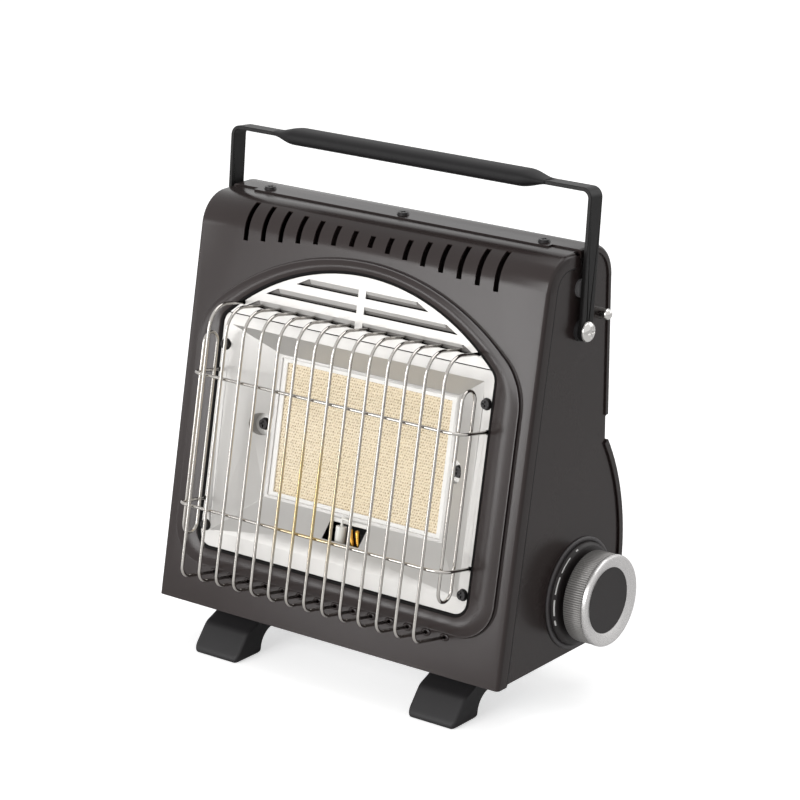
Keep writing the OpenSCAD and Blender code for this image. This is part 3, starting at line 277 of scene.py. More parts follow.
# Smooth grey moulding: a thin lighter ring
dial_grey = mottled("moulded_plastic_grey", "#3e3b3c", "#474445", (0.45, 0.55), 0.67, 0.04)
# Turned resin: waxy cream
acetal = mottled("acetal_turned", "#d2ccbe", "#ddd7ca", (0.40, 0.50), 2.0, 0.02)
# Moulded rubber, grey or black: dull, with no edge light
grey_rubber = mottled("rubber_moulded_grey", "#5a5859", "#646263", (0.55, 0.70), 1.1, 0.04)
rubber = mottled("rubber_moulded", "#1c1b1c", "#232223", (0.60, 0.75), 1.1, 0.05)
# Blackened screw: dark with small sharp lights
black_screw = mottled("blackened_steel_screw", "#1b191a", "#262425", (0.30, 0.42), 1.1, 0.02, 0.6)
# Sintered block: a dull granular grey
magnet = mottled("sintered_magnet", "#525456", "#606264", (0.45, 0.60), 1.1, 0.04, 0.5)
# Printed ink: flat white
dial_white = mottled("printed_white_ink", "#dcdbd8", "#e8e7e4", (0.50, 0.60), 1.25, 0.01)


# CAD nodes that stay as they are, by finish
LOOKS = {
    casing_paint: ["front_shell", "rear_panel", "side_panel_left", "side_panel_right", "rear_cover",
                   "cover_hinge_rod"],
    strap_paint: ["handle_strap"],
    zinc: ["base_pan", "burner_box", "venturi_tube", "pilot_bracket", "heat_shield", "cartridge_cradle",
           "valve_bracket", "foot_screws"],
    reflector: ["louvre_plate"],
    tray_steel: ["reflector_tray"],
    frame_white: ["tile_frame"],
    fibre: ["tile_gasket"],
    brass: ["injector", "valve_body"],
    copper: ["gas_pipe"],
    porcelain: ["igniter_electrode"],
    magnet: ["socket_magnet"],
    plastic: ["piezo_igniter", "knob_cap"],
    acetal: ["cam_sleeve"],
    rubber: ["handle_washers"],
    grey_rubber: ["handle_rub_buttons"],
    bright: ["valve_spindle", "handle_stop_pins", "cover_catch"],
    black_screw: ["top_screws", "reflector_screws", "burner_screws"],
}
for look, names in LOOKS.items():
    for name in names:
        nodes[name].data.materials.clear()
        nodes[name].data.materials.append(look)

# A fold sharper than this stays crisp, points nearer than this (in metres) are one, and an edge sharper than
# this is rounded
CRISP_FOLD, SAME_POINT, SHARP_EDGE = math.radians(32), 2e-6, math.radians(40)
# Edges that a mould or a press leaves round, with their radius in mm
ROUND_EDGES = {"handle_strap": 0.5, "knob_cap": 0.4, "tile_frame": 0.3, "front_shell": 0.3, "rear_panel": 0.3,
               "rear_cover": 0.3, "louvre_plate": 0.2, "reflector_tray": 0.3}


def rounded_shading():
    """A modifier for CAD nodes: joins their loose triangles, and shades smoothly across flat edges only."""
    group = bpy.data.node_groups.new("rounded_shading", "GeometryNodeTree")
    for way in ("INPUT", "OUTPUT"):
        group.interface.new_socket("Geometry", in_out=way, socket_type="NodeSocketGeometry")
    start, end = add(group, "NodeGroupInput"), add(group, "NodeGroupOutput")
    whole = add(group, "GeometryNodeMergeByDistance", {"Geometry": start.outputs[0], "Distance": SAME_POINT})
    soft = add(group, "GeometryNodeSetShadeSmooth", {"Geometry": whole.outputs[0], "Shade Smooth": True})
    angle = add(group, "GeometryNodeInputMeshEdgeAngle").outputs["Unsigned Angle"]
    fold = add(group, "FunctionNodeCompare", {0: angle, 1: CRISP_FOLD}, operation="LESS_THAN")
    crisp = add(group, "GeometryNodeSetShadeSmooth",
                {"Geometry": soft.outputs[0], "Shade Smooth": fold.outputs[0]}, domain="EDGE")
    group.links.new(crisp.outputs[0], end.inputs[0])
    return group


shading = rounded_shading()
for node in nodes.values():
    node.modifiers.new("rounded_shading", "NODES").node_group = shading
for name, radius in ROUND_EDGES.items():
    edge = nodes[name].modifiers.new("round_edges", "BEVEL")
    edge.width, edge.segments, edge.limit_method = radius * MM, 3, "ANGLE"
    edge.angle_limit = SHARP_EDGE
    edge.harden_normals = True


def finish(piece, look, body, slot, *replaced):
    """Gives a piece its material and body, and hides the CAD nodes that it stands for; the slot is not used."""
    piece.data.materials.clear()
    piece.data.materials.append(look)
    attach(piece, body)
    if replaced:
        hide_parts(*replaced)
    return piece


# Wire guard: the uprights leave the shell at GUARD_LOW and hook into the louvre at HOOK_S
WIRE_R, UPRIGHTS, UPRIGHT_PITCH, UPRIGHT_POINTS = 1.02, 14, 13.82, 22
GUARD_OUT, GUARD_LOW, HOOK_S = 32.6, 23.6, 195.6
HOOK_R, TOP_HOOK_R, WIRE_ROOT, WIRE_TIP = 7.0, 15.5, -4.0, 0.6
TILE_S = 120.6
BAR_OUT, BAR_HALF_W, BAR_BEND_R, BAR_TIP, BAR_POINTS = 29.95, 102.8, 9.0, -3.4, 40
BAR_HEIGHTS = (TILE_S - 52.1, TILE_S + 30.4)
LOOP_S, LOOP_LEN, LOOP_W, LOOP_BACK, LOOP_GAP = sum(BAR_HEIGHTS) / 2 + 2.8, 127.0, 13.0, 4.85, 2.65
# The place, across and up in the row frame, where the wires get hottest, how far the tint reaches, its share
HOT_PLACE, HOT_REACH, TINT = (0.0, 130.0), (26.0, 36.0), 0.62


def upright(x):
    """Path of an upright wire: out of the shell, round a small bend, up the face, round a wide bend
    and level into the lowest louvre."""
    low, high = GUARD_LOW + HOOK_R, HOOK_S - TOP_HOOK_R
    side = np.concatenate([
        [(GUARD_LOW, WIRE_ROOT)],
        arc((low, GUARD_OUT - HOOK_R), HOOK_R, 180, 90),
        run((low, GUARD_OUT), (high, GUARD_OUT), UPRIGHT_POINTS),
        arc((high, GUARD_OUT - TOP_HOOK_R), TOP_HOOK_R, 90, 0, 13),
        [(HOOK_S, WIRE_TIP)]])
    return front(x, side[:, 0], side[:, 1])


def crossbar(s):
    """Path of a crossbar: out of the flange, across behind the uprights, and back into the flange."""
    inner = BAR_HALF_W - BAR_BEND_R
    level = np.concatenate([
        [(-BAR_HALF_W, BAR_TIP)],
        arc((-inner, BAR_OUT - BAR_BEND_R), BAR_BEND_R, 180, 90),
        run((-inner, BAR_OUT), (inner, BAR_OUT), BAR_POINTS),
        arc((inner, BAR_OUT - BAR_BEND_R), BAR_BEND_R, 90, 0),
        [(BAR_HALF_W, BAR_TIP)]])
    return front(level[:, 0], s, level[:, 1])


def side_loop(side):
    """Path of a closed loop beside the guard: two straight runs and two half circles, set inside the
    crossbars' bends at a gap from them."""
    r = LOOP_W / 2
    reach = (LOOP_LEN - LOOP_W) / 2
    out = BAR_OUT - LOOP_BACK - r
    ring = np.concatenate([arc((LOOP_S + reach, out), r, 90, -90, 17),
                           arc((LOOP_S - reach, out), r, 270, 90, 17)])
    inner = BAR_BEND_R - LOOP_GAP
    loop_x = BAR_HALF_W - BAR_BEND_R + math.sqrt(inner ** 2 - (BAR_BEND_R - LOOP_BACK) ** 2)
    return front(side * loop_x, ring[:, 0], ring[:, 1])


def heat_tint(piece):
    """Marks how hot the wires get: the product of two flat-topped bells, across and up, each the exponential
    of minus the fourth power of the distance over its reach."""
    place = np.empty(3 * len(piece.data.vertices))
    piece.data.vertices.foreach_get("co", place)
    across, _, up = place.reshape(-1, 3).T / MM
    hot = np.exp(-((across - HOT_PLACE[0]) / HOT_REACH[0]) ** 4 - ((up - HOT_PLACE[1]) / HOT_REACH[1]) ** 4)
    return marked(piece, "straw", TINT * hot)


upright_x = (np.arange(UPRIGHTS) - (UPRIGHTS - 1) / 2) * UPRIGHT_PITCH
finish(heat_tint(join("guard_upright_wires", [tube("wire", upright(x), WIRE_R) for x in upright_x])),
       nickel, "casing", "nickel_wire", "guard_uprights")
finish(heat_tint(join("guard_cross_wires", [tube("wire", crossbar(s), WIRE_R) for s in BAR_HEIGHTS])),
       nickel, "casing", "nickel_wire", "guard_crossbars")
finish(join("guard_loop_wires", [tube("wire", side_loop(side), WIRE_R, closed=True) for side in (-1, 1)]),
       nickel, "casing", "nickel_wire", "guard_side_loops")


# Raised border and mouth. An arch's six sizes are its half width, low and high edge, and the radii of its
# arc, shoulders and corners; GROW takes it inwards by 1 mm.
GROW = np.array([-1, 1, -1, -1, -1, -1])
BORDER = np.array([123.5, 26.5, 235.5, 170.0, 40.0, 24.0])
MOUTH = np.array([105.0, 38.0, 228.0, 150.0, 10.0, 10.0])
CORNER_POINTS, SHOULDER_POINTS, ARC_POINTS = 12, 20, 80
RAISE, PLATE_OUT, STEP_R, CROWN, LIFT = 2.4, 1.4, 0.9, 0.8, 0.03
# The band stops short of the mouth; its underside lies in the sheet at the mouth, the step and the face
BAND_SHORT, MOUTH_IN, STEP_IN, FACE_IN, STEP_BACK = 0.3, 0.4, 0.6, 0.4, 0.5


def arch(half_w, low, high, arc_r, shoulder_r, corner_r):
    """An arch of tangent arcs: round lower corners, round shoulders and a wide arc over them."""
    shoulder_x, arc_s = half_w - shoulder_r, high - arc_r
    shoulder_s = arc_s + math.sqrt((arc_r - shoulder_r) ** 2 - shoulder_x ** 2)
    a = math.degrees(math.atan2(shoulder_s - arc_s, shoulder_x))
    inner, foot_s = half_w - corner_r, low + corner_r
    return np.concatenate([arc((inner, foot_s), corner_r, -90, 0, CORNER_POINTS),
                           arc((shoulder_x, shoulder_s), shoulder_r, 0, a, SHOULDER_POINTS),
                           arc((0, arc_s), arc_r, a, 180 - a, ARC_POINTS)[1:-1],
                           arc((-shoulder_x, shoulder_s), shoulder_r, 180 - a, 180, SHOULDER_POINTS),
                           arc((-inner, foot_s), corner_r, 180, 270, CORNER_POINTS)])


def loft(name, lines):
    """A closed ring of arches: each line is an arch's six sizes and its height in front of the face."""
    points = np.stack([front(*arch(*sizes).T, out) for sizes, out in lines[::-1]])
    return mesh_piece(name, row(points), quads(*points.shape[:2], wrap_u=True, wrap_v=True))


def border_band():
    """The pressed border: a hollow quarter circle up from the face, a round one onto the band, and a band that
    crowns by a sine between the border's arch and the mouth's; its underside lies in the sheet."""
    a = np.radians(np.linspace(0, 90, 7))
    hollow = [(BORDER + GROW * STEP_R * (np.sin(v) - 1), LIFT + STEP_R * (1 - np.cos(v))) for v in a]
    brow = [(BORDER + GROW * STEP_R * (1 - np.cos(v)), LIFT + RAISE - STEP_R * (1 - np.sin(v))) for v in a]
    start, end = BORDER + GROW * STEP_R, MOUTH - GROW * BAND_SHORT
    band = [(start + (end - start) * w, LIFT + RAISE + CROWN * math.sin(math.pi * w))
            for w in np.linspace(0, 1, 14)[1:]]
    under = [(end, RAISE - MOUTH_IN), (start, RAISE - STEP_IN), (BORDER + GROW * STEP_BACK, -FACE_IN),
             (BORDER - GROW * STEP_R, -FACE_IN)]
    return loft("border_band", hollow + brow + band + under)


def mouth_shadow_bead(reach=1.5, lap=0.5, proud=0.1, sunk=0.02):
    """The bead along the mouth's edge: a quarter ellipse from the band down to the louvred plate."""
    a = np.radians(np.linspace(0, 90, 8))
    low = PLATE_OUT + LIFT
    over = [(MOUTH + GROW * ((reach + lap) * np.sin(v) - lap), low + (RAISE + proud - PLATE_OUT) * np.cos(v))
            for v in a]
    return loft("mouth_shadow_bead", over + [(MOUTH + GROW * reach, low - sunk), (MOUTH - GROW * lap, low - sunk)])


# Flange hems, blades behind the openings, collars round the wires
HEM_X, HEM_R, HEM_BACK, HEM_LOW, HEM_END_Y = 132.0, 0.62, 9.0, 1.2, 74.0
ROLL_R, ROLL_Z = 22.0, 230.5
LOUVRE_H, LOUVRES = 4.6, ((194.2, 87.5), (203.9, 73.5), (213.6, 50.5))
LOUVRE_MID, BLADE_OVER, BLADE_SHORT, BLADE_OUT, BLADE_CURL, BLADE_T = 1.5, 1.0, 0.6, 0.3, 0.8, 0.3
REAR_VENTS, VENT_LOW, VENT_HIGH = np.arange(-6, 7) * 15.0, 162.0, 214.0
VENT_EDGE, VENT_BLADE_W, VENT_BLADE_IN, VENT_BLADE_CURL, VENT_BLADE_T = 2.8, 4.6, 1.2, 2.0, 0.5
# A collar's profile: the share of its breadth, and its height over the face
COLLAR = np.array([(0, 0.06), (1, 0.06), (1, 0.3), (0.8, 0.62), (0.4, 0.8), (0, 0.86)])
COLLAR_ACROSS, COLLAR_ALONG, COLLAR_GAP, COLLAR_SIDES = 2.3, 1.4, 0.05, 28


def flange_hem(side):
    """The rolled hem of the shell's side flange: a round bead up the lean and round the roll."""
    roll_y = ROLL_Z * math.tan(LEAN) + ROLL_R / math.cos(LEAN)
    start = (HEM_BACK / math.cos(LEAN) + HEM_LOW * math.tan(LEAN), HEM_LOW)
    line = np.concatenate([[start], arc((roll_y, ROLL_Z), ROLL_R - HEM_BACK, 180 - math.degrees(LEAN), 90, 14),
                           [(HEM_END_Y, ROLL_Z + ROLL_R - HEM_BACK)]])
    path = np.stack([np.full(len(line), side * HEM_X), line[:, 0], line[:, 1]], 1)
    return tube("hem", path, HEM_R, sides=12)


def louvre_blade(side, low, half_w):
    """A pressed blade behind a louvre: a strip from above the slot that curls inwards.

    Its grid runs across the slot and down the blade; the depth grows with the square of the way down."""
    x = side * np.linspace(LOUVRE_MID, half_w + BLADE_OVER, 12)[:, None]
    v = np.linspace(0, 1, 7)[None]
    s = low + LOUVRE_H + BLADE_OVER - (LOUVRE_H + BLADE_OVER - BLADE_SHORT) * v + 0 * x
    points = front(x + 0 * v, s, BLADE_OUT - BLADE_CURL * v * v)
    return thickened(mesh_piece("blade", row(points), quads(12, 7)), BLADE_T)


def rear_blade(x):
    """A pressed blade behind a rear vent: upright, from one edge of the slot inwards across it; the depth
    grows with the power 1.5 of the way across."""
    z = np.linspace(VENT_LOW, VENT_HIGH, 8)[:, None]
    v = np.linspace(0, 1, 6)[None]
    points = np.stack([x + VENT_EDGE - VENT_BLADE_W * v + 0 * z,
                       CASE_D - VENT_BLADE_IN - VENT_BLADE_CURL * v ** 1.5 + 0 * z, z + 0 * v], -1)
    return thickened(mesh_piece("blade", row(points), quads(8, 6)), VENT_BLADE_T)


def grommet(x):
    """A collar where an upright wire enters the shell: a low domed profile carried round an oval."""
    a = circle(COLLAR_SIDES, -1)
    share, out = COLLAR.T[:, :, None]
    across = WIRE_R + COLLAR_GAP + share * COLLAR_ACROSS
    along = WIRE_R + COLLAR_GAP + share * COLLAR_ALONG
    points = front(x + across * np.cos(a), GUARD_LOW + along * np.sin(a), out)
    return mesh_piece("grommet", row(points), quads(len(COLLAR), COLLAR_SIDES, wrap_u=True, wrap_v=True))


finish(border_band(), casing_paint, "casing", "casing_paint")
# The bead at the mouth is black: painted shade along the mouth's edge
finish(mouth_shadow_bead(), mouth_shade_paint, "casing", "rubber")
finish(join("wire_grommets", [grommet(x) for x in upright_x]), casing_paint, "casing", "casing_paint")
# The hems take the strap's black, not the casing's paint: a painted shadow line along the seam of flange and side
# panel
finish(join("flange_hems_painted_shadow", [flange_hem(side) for side in (-1, 1)]), strap_paint, "casing", "casing_paint")
# The blades are a darker grey than the plate: painted shade inside the louvre slots
finish(join("louvre_blades", [louvre_blade(side, *size) for size in LOUVRES for side in (-1, 1)]),
       blade_steel, "casing", "reflector_sheet")
finish(join("rear_vent_blades", [rear_blade(x) for x in REAR_VENTS]), casing_paint, "casing", "casing_paint")


# Perforated tile
TILE_W, TILE_H, TILE_FRONT, TILE_T = 132.0, 87.0, -17.0, 12.0


def tile_block(pitch=1.8, steps=4, hole_r=0.45, depth=1.0, rim=0.3, wander=0.24, palest=0.4):
    """Burner tile: a grid over its front, sunk to a round-bottomed hole wherever the distance to the
    nearest centre of a staggered pattern is less than the hole's radius; walls and a back close it.

    Each centre wanders by a share of the pitch and each hole has its own depth of painted shade, from a fixed
    draw."""
    cols, rows = int(TILE_W / pitch) * steps, int(TILE_H / pitch) * steps
    u = np.linspace(-TILE_W / 2, TILE_W / 2, cols + 1)
    v = np.linspace(-TILE_H / 2, TILE_H / 2, rows + 1)
    x, s = np.meshgrid(u, v, indexing="ij")
    step_u, step_v = TILE_W / cols * steps, TILE_H / rows * steps
    line = np.floor((s + TILE_H / 2) / step_v)
    place = (x + TILE_W / 2) / step_u + 0.5 * (line % 2)
    draw = np.random.default_rng(5).random((3, rows + 2, cols + 2))
    shift_u, shift_v, tone = draw[:, line.astype(int), np.floor(place).astype(int)]
    du = place % 1 - 0.5 + wander * (shift_u - 0.5)
    dv = ((s + TILE_H / 2) / step_v) % 1 - 0.5 + wander * (shift_v - 0.5)
    far_off = np.hypot(du * step_u, dv * step_v)
    hole = np.clip((hole_r - far_off) / rim + 0.5, 0, 1)
    edge = np.zeros_like(hole)
    edge[[0, -1], :] = edge[:, [0, -1]] = 1
    hole *= 1 - edge
    top = front(x, TILE_S + s, TILE_FRONT - depth * hole)
    index = np.arange(top[..., 0].size).reshape(top.shape[:2])
    border = np.concatenate([index[:-1, 0], index[-1, :-1], index[:0:-1, -1], index[0, :0:-1]])
    back = front(x.reshape(-1)[border], TILE_S + s.reshape(-1)[border], TILE_FRONT - TILE_T)
    lower = index.size + np.arange(len(border))
    walls = np.stack([np.roll(border, -1), border, lower, np.roll(lower, -1)], -1).tolist()
    faces = quads(*top.shape[:2]) + walls + [lower[::-1].tolist()]
    piece = mesh_piece("perforated_tile", row(np.concatenate([top.reshape(-1, 3), back])), faces)
    # Painted shade in the holes: the hole mask, each hole darker or paler by its own draw
    colour = hole * (palest + (1 - palest) * tone)
    return marked(piece, "hole", np.concatenate([colour.reshape(-1), np.zeros(len(border))]))


finish(tile_block(), ceramic, "casing", "burner_ceramic", "ceramic_tile")


# Knob and dial: profiles give radius and height over the right side panel
GAS_Y, GAS_Z = 84.5, 37.0
DIAL_DISC = [(6, 0), (32, 0), (32, 2.5), (31.6, 3.1), (30.4, 4.3), (29.8, 4.5), (6, 4.5)]
DIAL_FLANGE = [(32.02, 0), (35, 0), (35, 0.7), (34.5, 1.3), (32.02, 1.4)]
# A dash's start and end angle in degrees, and its width; they lie on the middle of the bevel, lifted off it
DASHES = ((12, 16, 0.9), (28, 49, 0.6), (54, 74, 0.75), (80, 99, 0.9), (105, 112, 1.0))
BEVEL_R, BEVEL_H, INK_LIFT, INK_T = 31.1, 3.7, 0.04, 0.08
KNOB_SKIRT = [(25.0, 7.8), (27.7, 7.8), (28.3, 8.4), (28.3, 20.1), (27.6, 20.7), (25.0, 20.7)]
SKIRT_FLUTED = np.array([0, 1, 1, 1, 1, 0])[:, None]
KNOB_RIM = [(25.0, 20.7), (27.7, 20.7), (28.5, 21.4), (28.5, 23.0), (28.1, 23.8), (27.2, 24.3), (26.4, 24.3),
            (20.6, 21.9), (20.5, 20.0), (19.4, 20.0), (19.4, 18.4), (25.0, 18.4)]
FLUTES, FLUTE_POINTS, FLUTE_DEPTH = 120, 6, 0.4
SKIRT_CRISP, RIM_CRISP = math.radians(50), math.radians(32)


def dial_dash(start, end, width):
    """A dash of ink on the dial's bevel: a grid of angle and of position down the bevel's 45 degree slope."""
    a = np.radians(np.linspace(start, end, 16))[:, None]
    w = np.linspace(-width / 2, width / 2, 4)[None] * math.sqrt(0.5)
    r, h = BEVEL_R - w + INK_LIFT + 0 * a, SIDE_X + BEVEL_H + w + INK_LIFT + 0 * a
    points = np.stack([h, GAS_Y - r * np.sin(a), GAS_Z + r * np.cos(a)], -1)
    return thickened(mesh_piece("dash", row(points), quads(16, 4)), INK_T)


def knob():
    """Knob: a turned skirt with flutes round it, and a turned rim that dishes down to the centre disc.

    The skirt's radius drops by the flute's depth times one less the absolute sine of half the flute count times
    the angle; the attribute 'flute' keeps that drop, from which the finish paints shade in the flutes."""
    sides = FLUTES * FLUTE_POINTS
    drop = SKIRT_FLUTED * (1 - np.abs(np.sin(FLUTES / 2 * circle(sides, -1))))
    ring = turned("fluted_knob", KNOB_SKIRT, SIDE_X, GAS_Y, GAS_Z, sides=sides, drop=FLUTE_DEPTH * drop)
    marked(ring, "flute", drop)
    rim = turned("knob_rim", KNOB_RIM, SIDE_X, GAS_Y, GAS_Z, sides=120)
    for piece, crisp in ((ring, SKIRT_CRISP), (rim, RIM_CRISP)):
        piece.modifiers.new("crisp_edges", "EDGE_SPLIT").split_angle = crisp
    # The skirt's darker silver and its darker flutes are painted shade; the rim's lighter silver is painted light
    finish(ring, knob_silver, "knob", "knob_plastic", "knob_ring")
    finish(rim, knob_bright, "knob", "knob_plastic")


finish(turned("dial_disc", DIAL_DISC, SIDE_X, GAS_Y, GAS_Z, sides=96),
       plastic, "casing", "black_plastic", "dial_plate")
finish(turned("dial_flange", DIAL_FLANGE, SIDE_X, GAS_Y, GAS_Z, sides=96), dial_grey, "casing", "black_plastic")
finish(join("dial_dashes", [dial_dash(*size) for size in DASHES]), dial_white, "casing", None)
knob()


# Handle
PIVOT_Y, PIVOT_Z, HANDLE_LEAN = 80.5, 204.0, math.radians(5.5)
STRAP_OUT, STRAP_W, STRAP_T, STRAP_MID = 136.8, 12.2, 2.5, 84.75
GRIP_LEN, GRIP_W, GRIP_T, GRIP_TAPER, GRIP_POWER, GRIP_SIDES = 207.0, 22.0, 10.5, 18.0, 2.6, 40
# How far the grip's ends stand out from the strap, across and along its thickness
LIP_W, LIP_T = 0.4, 0.5
HEAD_R, HEAD_H, HEAD_EDGE, HEAD_GAP = 6.3, 3.0, 0.4, 0.3
NUT_R, NUT_H, SHANK_R, POLE_R = 5.0, 4.0, 3.0, 0.2
CROSS_W, CROSS_R, CROSS_DEPTH = 1.3, 3.2, 0.9
HEAD_RINGS, HEAD_SIDES, HEAD_POLE = 26, 72, 0.02


def on_handle(x, y, z):
    """Points of the handle's own frame, z up along its legs from the pivot, in the casing frame."""
    x, y, z = np.broadcast_arrays(np.asarray(x, float), y, z)
    return np.stack([x, PIVOT_Y + y * math.cos(HANDLE_LEAN) + z * math.sin(HANDLE_LEAN),
                     PIVOT_Z - y * math.sin(HANDLE_LEAN) + z * math.cos(HANDLE_LEAN)], -1)


def grip():
    """Hand grip: a superellipse carried along the bar, swelling from the strap's size with a smooth step
    over each end."""
    half = GRIP_LEN / 2
    ease = np.linspace(0, 1, 14)
    x = np.concatenate([-half + GRIP_TAPER * ease, np.linspace(GRIP_TAPER - half, half - GRIP_TAPER, 24)[1:-1],
                        half - GRIP_TAPER * (1 - ease)])[:, None]
    near = np.clip((half - np.abs(x)) / GRIP_TAPER, 0, 1)
    swell = near * near * (3 - 2 * near)
    depth = STRAP_W / 2 + LIP_W + (GRIP_W / 2 - STRAP_W / 2 - LIP_W) * swell
    thick = STRAP_T / 2 + LIP_T + (GRIP_T / 2 - STRAP_T / 2 - LIP_T) * swell
    a = circle(GRIP_SIDES, -1)[None]
    y = depth * np.sign(np.cos(a)) * np.abs(np.cos(a)) ** (2 / GRIP_POWER)
    z = thick * np.sign(np.sin(a)) * np.abs(np.sin(a)) ** (2 / GRIP_POWER)
    faces = quads(len(x), GRIP_SIDES, wrap_v=True) + ends(len(x), GRIP_SIDES)
    return mesh_piece("moulded_grip", row(on_handle(x + 0 * a, y, STRAP_MID + z)), faces)


def pivot_screw(side):
    """Pivot screw: a shank with its inner nut, turned, and a domed head with a cross pressed into it.

    The dome's height is that of an ellipse; it sinks where either distance from the axis is under half the
    cross's width, within the cross's reach."""
    seat, nut = STRAP_OUT + HEAD_GAP, PANEL_IN - NUT_H
    shank = turned("shank", [(POLE_R, nut), (NUT_R, nut), (NUT_R, PANEL_IN), (SHANK_R, PANEL_IN),
                             (SHANK_R, seat), (HEAD_R, seat), (HEAD_R, seat + HEAD_EDGE)],
                   0.0, PIVOT_Y, PIVOT_Z, side, HEAD_SIDES, closed=False)
    a = circle(HEAD_SIDES, -side)[None]
    r = HEAD_R * np.sin(np.linspace(np.pi / 2, HEAD_POLE, HEAD_RINGS))[:, None]
    y, z = -r * np.sin(a), r * np.cos(a)
    cross = (np.minimum(np.abs(y), np.abs(z)) < CROSS_W / 2) & (np.hypot(y, z) < CROSS_R)
    h = seat + HEAD_EDGE + HEAD_H * np.sqrt(1 - (r / HEAD_R) ** 2) - CROSS_DEPTH * cross
    faces = quads(HEAD_RINGS, HEAD_SIDES, wrap_v=True) + ends(HEAD_RINGS, HEAD_SIDES)[1:]
    head = mesh_piece("head", row(np.stack([side * h, PIVOT_Y + y, PIVOT_Z + z], -1)), faces)
    return [shank, head]


finish(grip(), grip_plastic, "handle", "grip_plastic", "handle_grip")
finish(join("pivot_screws", pivot_screw(1) + pivot_screw(-1)),
       bright, "casing", "bright_steel", "handle_pivot_screws")


# Flame sensor: rods in a plate at PLATE_S up the face
PLATE_S, PILOT_OUT, ROD_X = 50.0, -12.8, (7.0, 11.8)
ROD_R, ROD_ROOT, ROD_FREE, ROD_LEN, ROD_TILT, ROD_SIDES = 1.5, 6.0, 3.0, 18.5, math.radians(13), 16
ROD_TIP = np.radians([30, 60, 88])


def sensor_rod(x):
    """A flame sensor's rod: upright in its plate, then leaning; the radius follows a rounded tip."""
    s = PLATE_S + np.concatenate([[-ROD_ROOT, 0], np.linspace(ROD_FREE, ROD_LEN, 6),
                                  ROD_LEN + ROD_R * np.sin(ROD_TIP)])
    r = np.concatenate([np.full(len(s) - len(ROD_TIP), ROD_R), ROD_R * np.cos(ROD_TIP)])[:, None]
    shift = -np.clip(s - PLATE_S, 0, None)[:, None] * math.tan(ROD_TILT)
    a = circle(ROD_SIDES)[None]
    points = front(x + shift + r * np.cos(a), s[:, None] + 0 * a, PILOT_OUT + r * np.sin(a))
    return mesh_piece("rod", row(points), quads(len(s), ROD_SIDES, wrap_v=True) + ends(len(s), ROD_SIDES))


finish(join("flame_sensor_rods", [sensor_rod(x) for x in ROD_X]), gold_steel, "casing", "brass", "thermocouple")


# Feet: the side view of a front foot, its middle, and for each foot its place across and whether it is turned
FOOT_W, FOOT_EDGE, FOOT_CORNER, HEEL_R, REAR_TURN = 35.8, 3.4, 2.6, 16.0, 107.5
FOOT_LINE = np.concatenate([[(-2.5, -FOOT_H), (-2.5, 3.5 - FOOT_H), (9.0, -14.5), (22.0, -9.2), (24.0, 0.0),
                             (44.0, 0.0), (44.0, -16.0)], arc((38.0, -FOOT_H), HEEL_R, 72.0, 180, 12)])
FOOT_MID = np.array([18.0, -17.0])
FEET = {"foot_front_left": (-84.7, False), "foot_front_right": (84.7, False),
        "foot_rear_left": (-66.0, True), "foot_rear_right": (66.0, True)}


def rounded(line, r, n=6, most=0.45):
    """A closed line whose corners are replaced by parabolas that start r away from them, or the most of a side."""
    before, after = np.roll(line, 1, 0) - line, np.roll(line, -1, 0) - line
    span, reach = np.linalg.norm(before, axis=1, keepdims=True), np.linalg.norm(after, axis=1, keepdims=True)
    start = line + before / span * np.minimum(r, most * span)
    end = line + after / reach * np.minimum(r, most * reach)
    w = np.linspace(0, 1, n)[None, :, None]
    bend = (1 - w) ** 2 * start[:, None] + 2 * w * (1 - w) * line[:, None] + w ** 2 * end[:, None]
    return bend.reshape(-1, 2)


def foot(name, x, turned_round):
    """A moulded foot: its side view carried across, drawn in towards its middle by a quarter circle at both ends.

    The rear feet are the same side view, mirrored front to back."""
    line = rounded(FOOT_LINE, FOOT_CORNER)
    a = np.radians(np.linspace(0, 90, 8))
    place = FOOT_W / 2 - FOOT_EDGE * (1 - np.sin(a))
    share = 1 - FOOT_EDGE * (1 - np.cos(a)) / -FOOT_MID[1]
    place, share = np.concatenate([-place[::-1], place]), np.concatenate([share[::-1], share])
    side = FOOT_MID + (line - FOOT_MID) * share[:, None, None]
    if turned_round:
        side = np.stack([REAR_TURN - side[..., 0], side[..., 1]], -1)[:, ::-1]
    points = np.concatenate([x + place[:, None, None] + 0 * side[..., :1], side], -1)
    count, ring = points.shape[:2]
    return mesh_piece("moulded_" + name, row(points), quads(count, ring, wrap_v=True) + ends(count, ring))


for name, size in FEET.items():
    finish(foot(name, *size), foot_plastic, "casing", "foot_plastic", name)


# Stage, light and camera. A lamp's place and size are in metres, its power in watts.
FLOOR_HALF, FLOOR_GLOW, WORLD_FILL, AIM = 6.0, 0.6, 0.35, Vector((0, 0, 0.15))
LAMPS = {"key": ((-0.2, -2.1, 0.95), (1.2, 1.0), 24), "gloss": ((-1.03, -1.93, 0.36), (0.62, 0.44), 7),
         "low": ((-1.15, -1.93, 0.06), (0.6, 0.10), 1.7), "edge": ((-1.75, -1.35, 0.3), (0.3, 0.5), 2),
         "top": ((0.1, 0.4, 2.0), (1.5, 1.5), 11), "back": ((1.0, 1.7, 1.1), (1.2, 1.2), 7)}
# The photograph's camera: focal length in pixels, angles in degrees, offsets and distance in mm
FOCAL, YAW, PITCH, ROLL = 3197.6, 37.16, 17.87, 0.116
SHIFT_X, SHIFT_Y, DISTANCE = -47.81, -147.94, 1963.9
IMAGE_W, SENSOR_W, FAR = 800, 36, 50


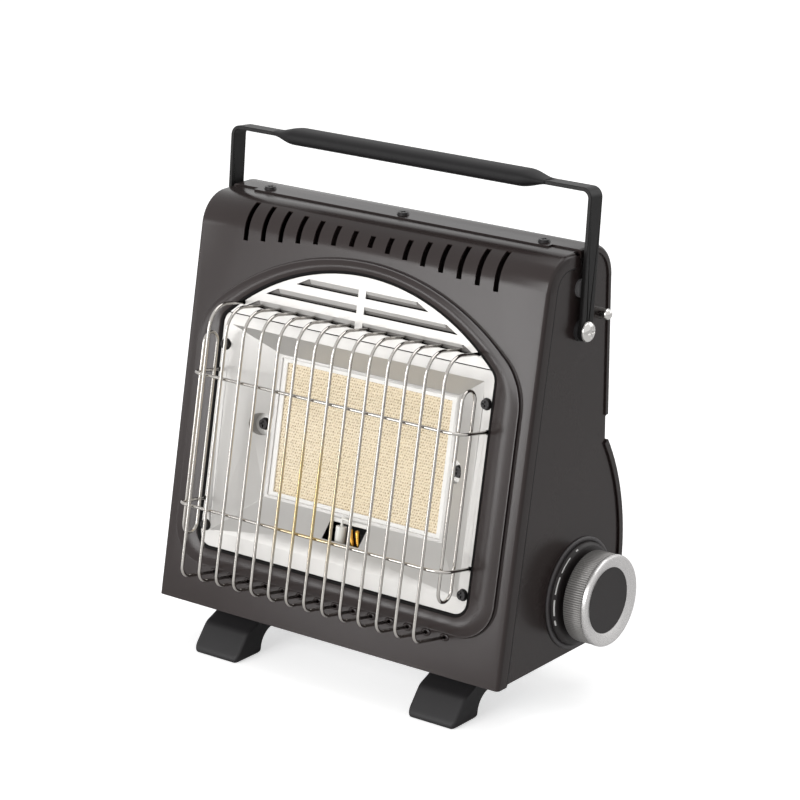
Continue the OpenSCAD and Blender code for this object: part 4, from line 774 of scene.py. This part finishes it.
def stage():
    """Plain pale floor and soft studio light on a white background."""
    corners = np.array([[-1, -1, 0], [1, -1, 0], [1, 1, 0], [-1, 1, 0]]) * FLOOR_HALF
    floor = mesh_piece("floor", corners, [[0, 1, 2, 3]])
    # Matt paper: an even white that takes the shadow
    paper = mottled("matt_white_paper", "#f4f4f4", "#f8f8f8", (0.8, 0.9), 25.0, 0.1)
    tree = paper.node_tree
    path = add(tree, "ShaderNodeLightPath").outputs
    shader = tree.nodes["Principled BSDF"]
    shader.inputs["Emission Color"].default_value = (1, 1, 1, 1)
    lift = add(tree, "ShaderNodeMath", {0: path["Is Camera Ray"], 1: FLOOR_GLOW}, operation="MULTIPLY")
    tree.links.new(lift.outputs[0], shader.inputs["Emission Strength"])
    floor.data.materials.append(paper)
    world = bpy.data.worlds.new("studio")
    bpy.context.scene.world = world
    world.use_nodes = True
    tree = world.node_tree
    path = add(tree, "ShaderNodeLightPath").outputs
    seen = path["Is Camera Ray"]
    for ray in ("Is Transmission Ray", "Is Glossy Ray"):
        seen = add(tree, "ShaderNodeMath", {0: seen, 1: path[ray]}, operation="MAXIMUM").outputs[0]
    level = add(tree, "ShaderNodeMapRange", {"Value": seen, "To Min": WORLD_FILL, "To Max": 1.0})
    tree.links.new(level.outputs["Result"], tree.nodes["Background"].inputs["Strength"])
    tree.nodes["Background"].inputs["Color"].default_value = (1, 1, 1, 1)
    for name, (where, size, power) in LAMPS.items():
        light = bpy.data.lights.new(name, "AREA")
        light.shape = "RECTANGLE"
        light.size, light.size_y = size
        light.energy = power
        lamp = bpy.data.objects.new(name, light)
        bpy.context.scene.collection.objects.link(lamp)
        lamp.location = where
        lamp.rotation_euler = (AIM - Vector(where)).to_track_quat("-Z", "Y").to_euler()


def camera():
    """The photograph's view: a pinhole camera placed from its yaw, pitch, roll, distance and offsets."""
    a, e, r = (math.radians(v) for v in (YAW, PITCH, ROLL))
    back = Vector((math.sin(a) * math.cos(e), -math.cos(a) * math.cos(e), math.sin(e)))
    level = Vector((math.cos(a), math.sin(a), 0))
    rise = back.cross(level)
    right = level * math.cos(r) + rise * math.sin(r)
    up = rise * math.cos(r) - level * math.sin(r)
    place = back * DISTANCE - right * SHIFT_X - up * SHIFT_Y
    data = bpy.data.cameras.new("photo_view")
    data.sensor_width = SENSOR_W
    data.lens = FOCAL / IMAGE_W * SENSOR_W
    data.clip_end = FAR
    eye = bpy.data.objects.new("photo_view", data)
    bpy.context.scene.collection.objects.link(eye)
    turn = Matrix((right, up, back)).transposed().to_4x4()
    turn.translation = Vector(row(np.array(place)).tolist())
    eye.matrix_world = turn
    bpy.context.scene.camera = eye


stage()
camera()
bpy.context.scene.view_settings.view_transform = "Standard"
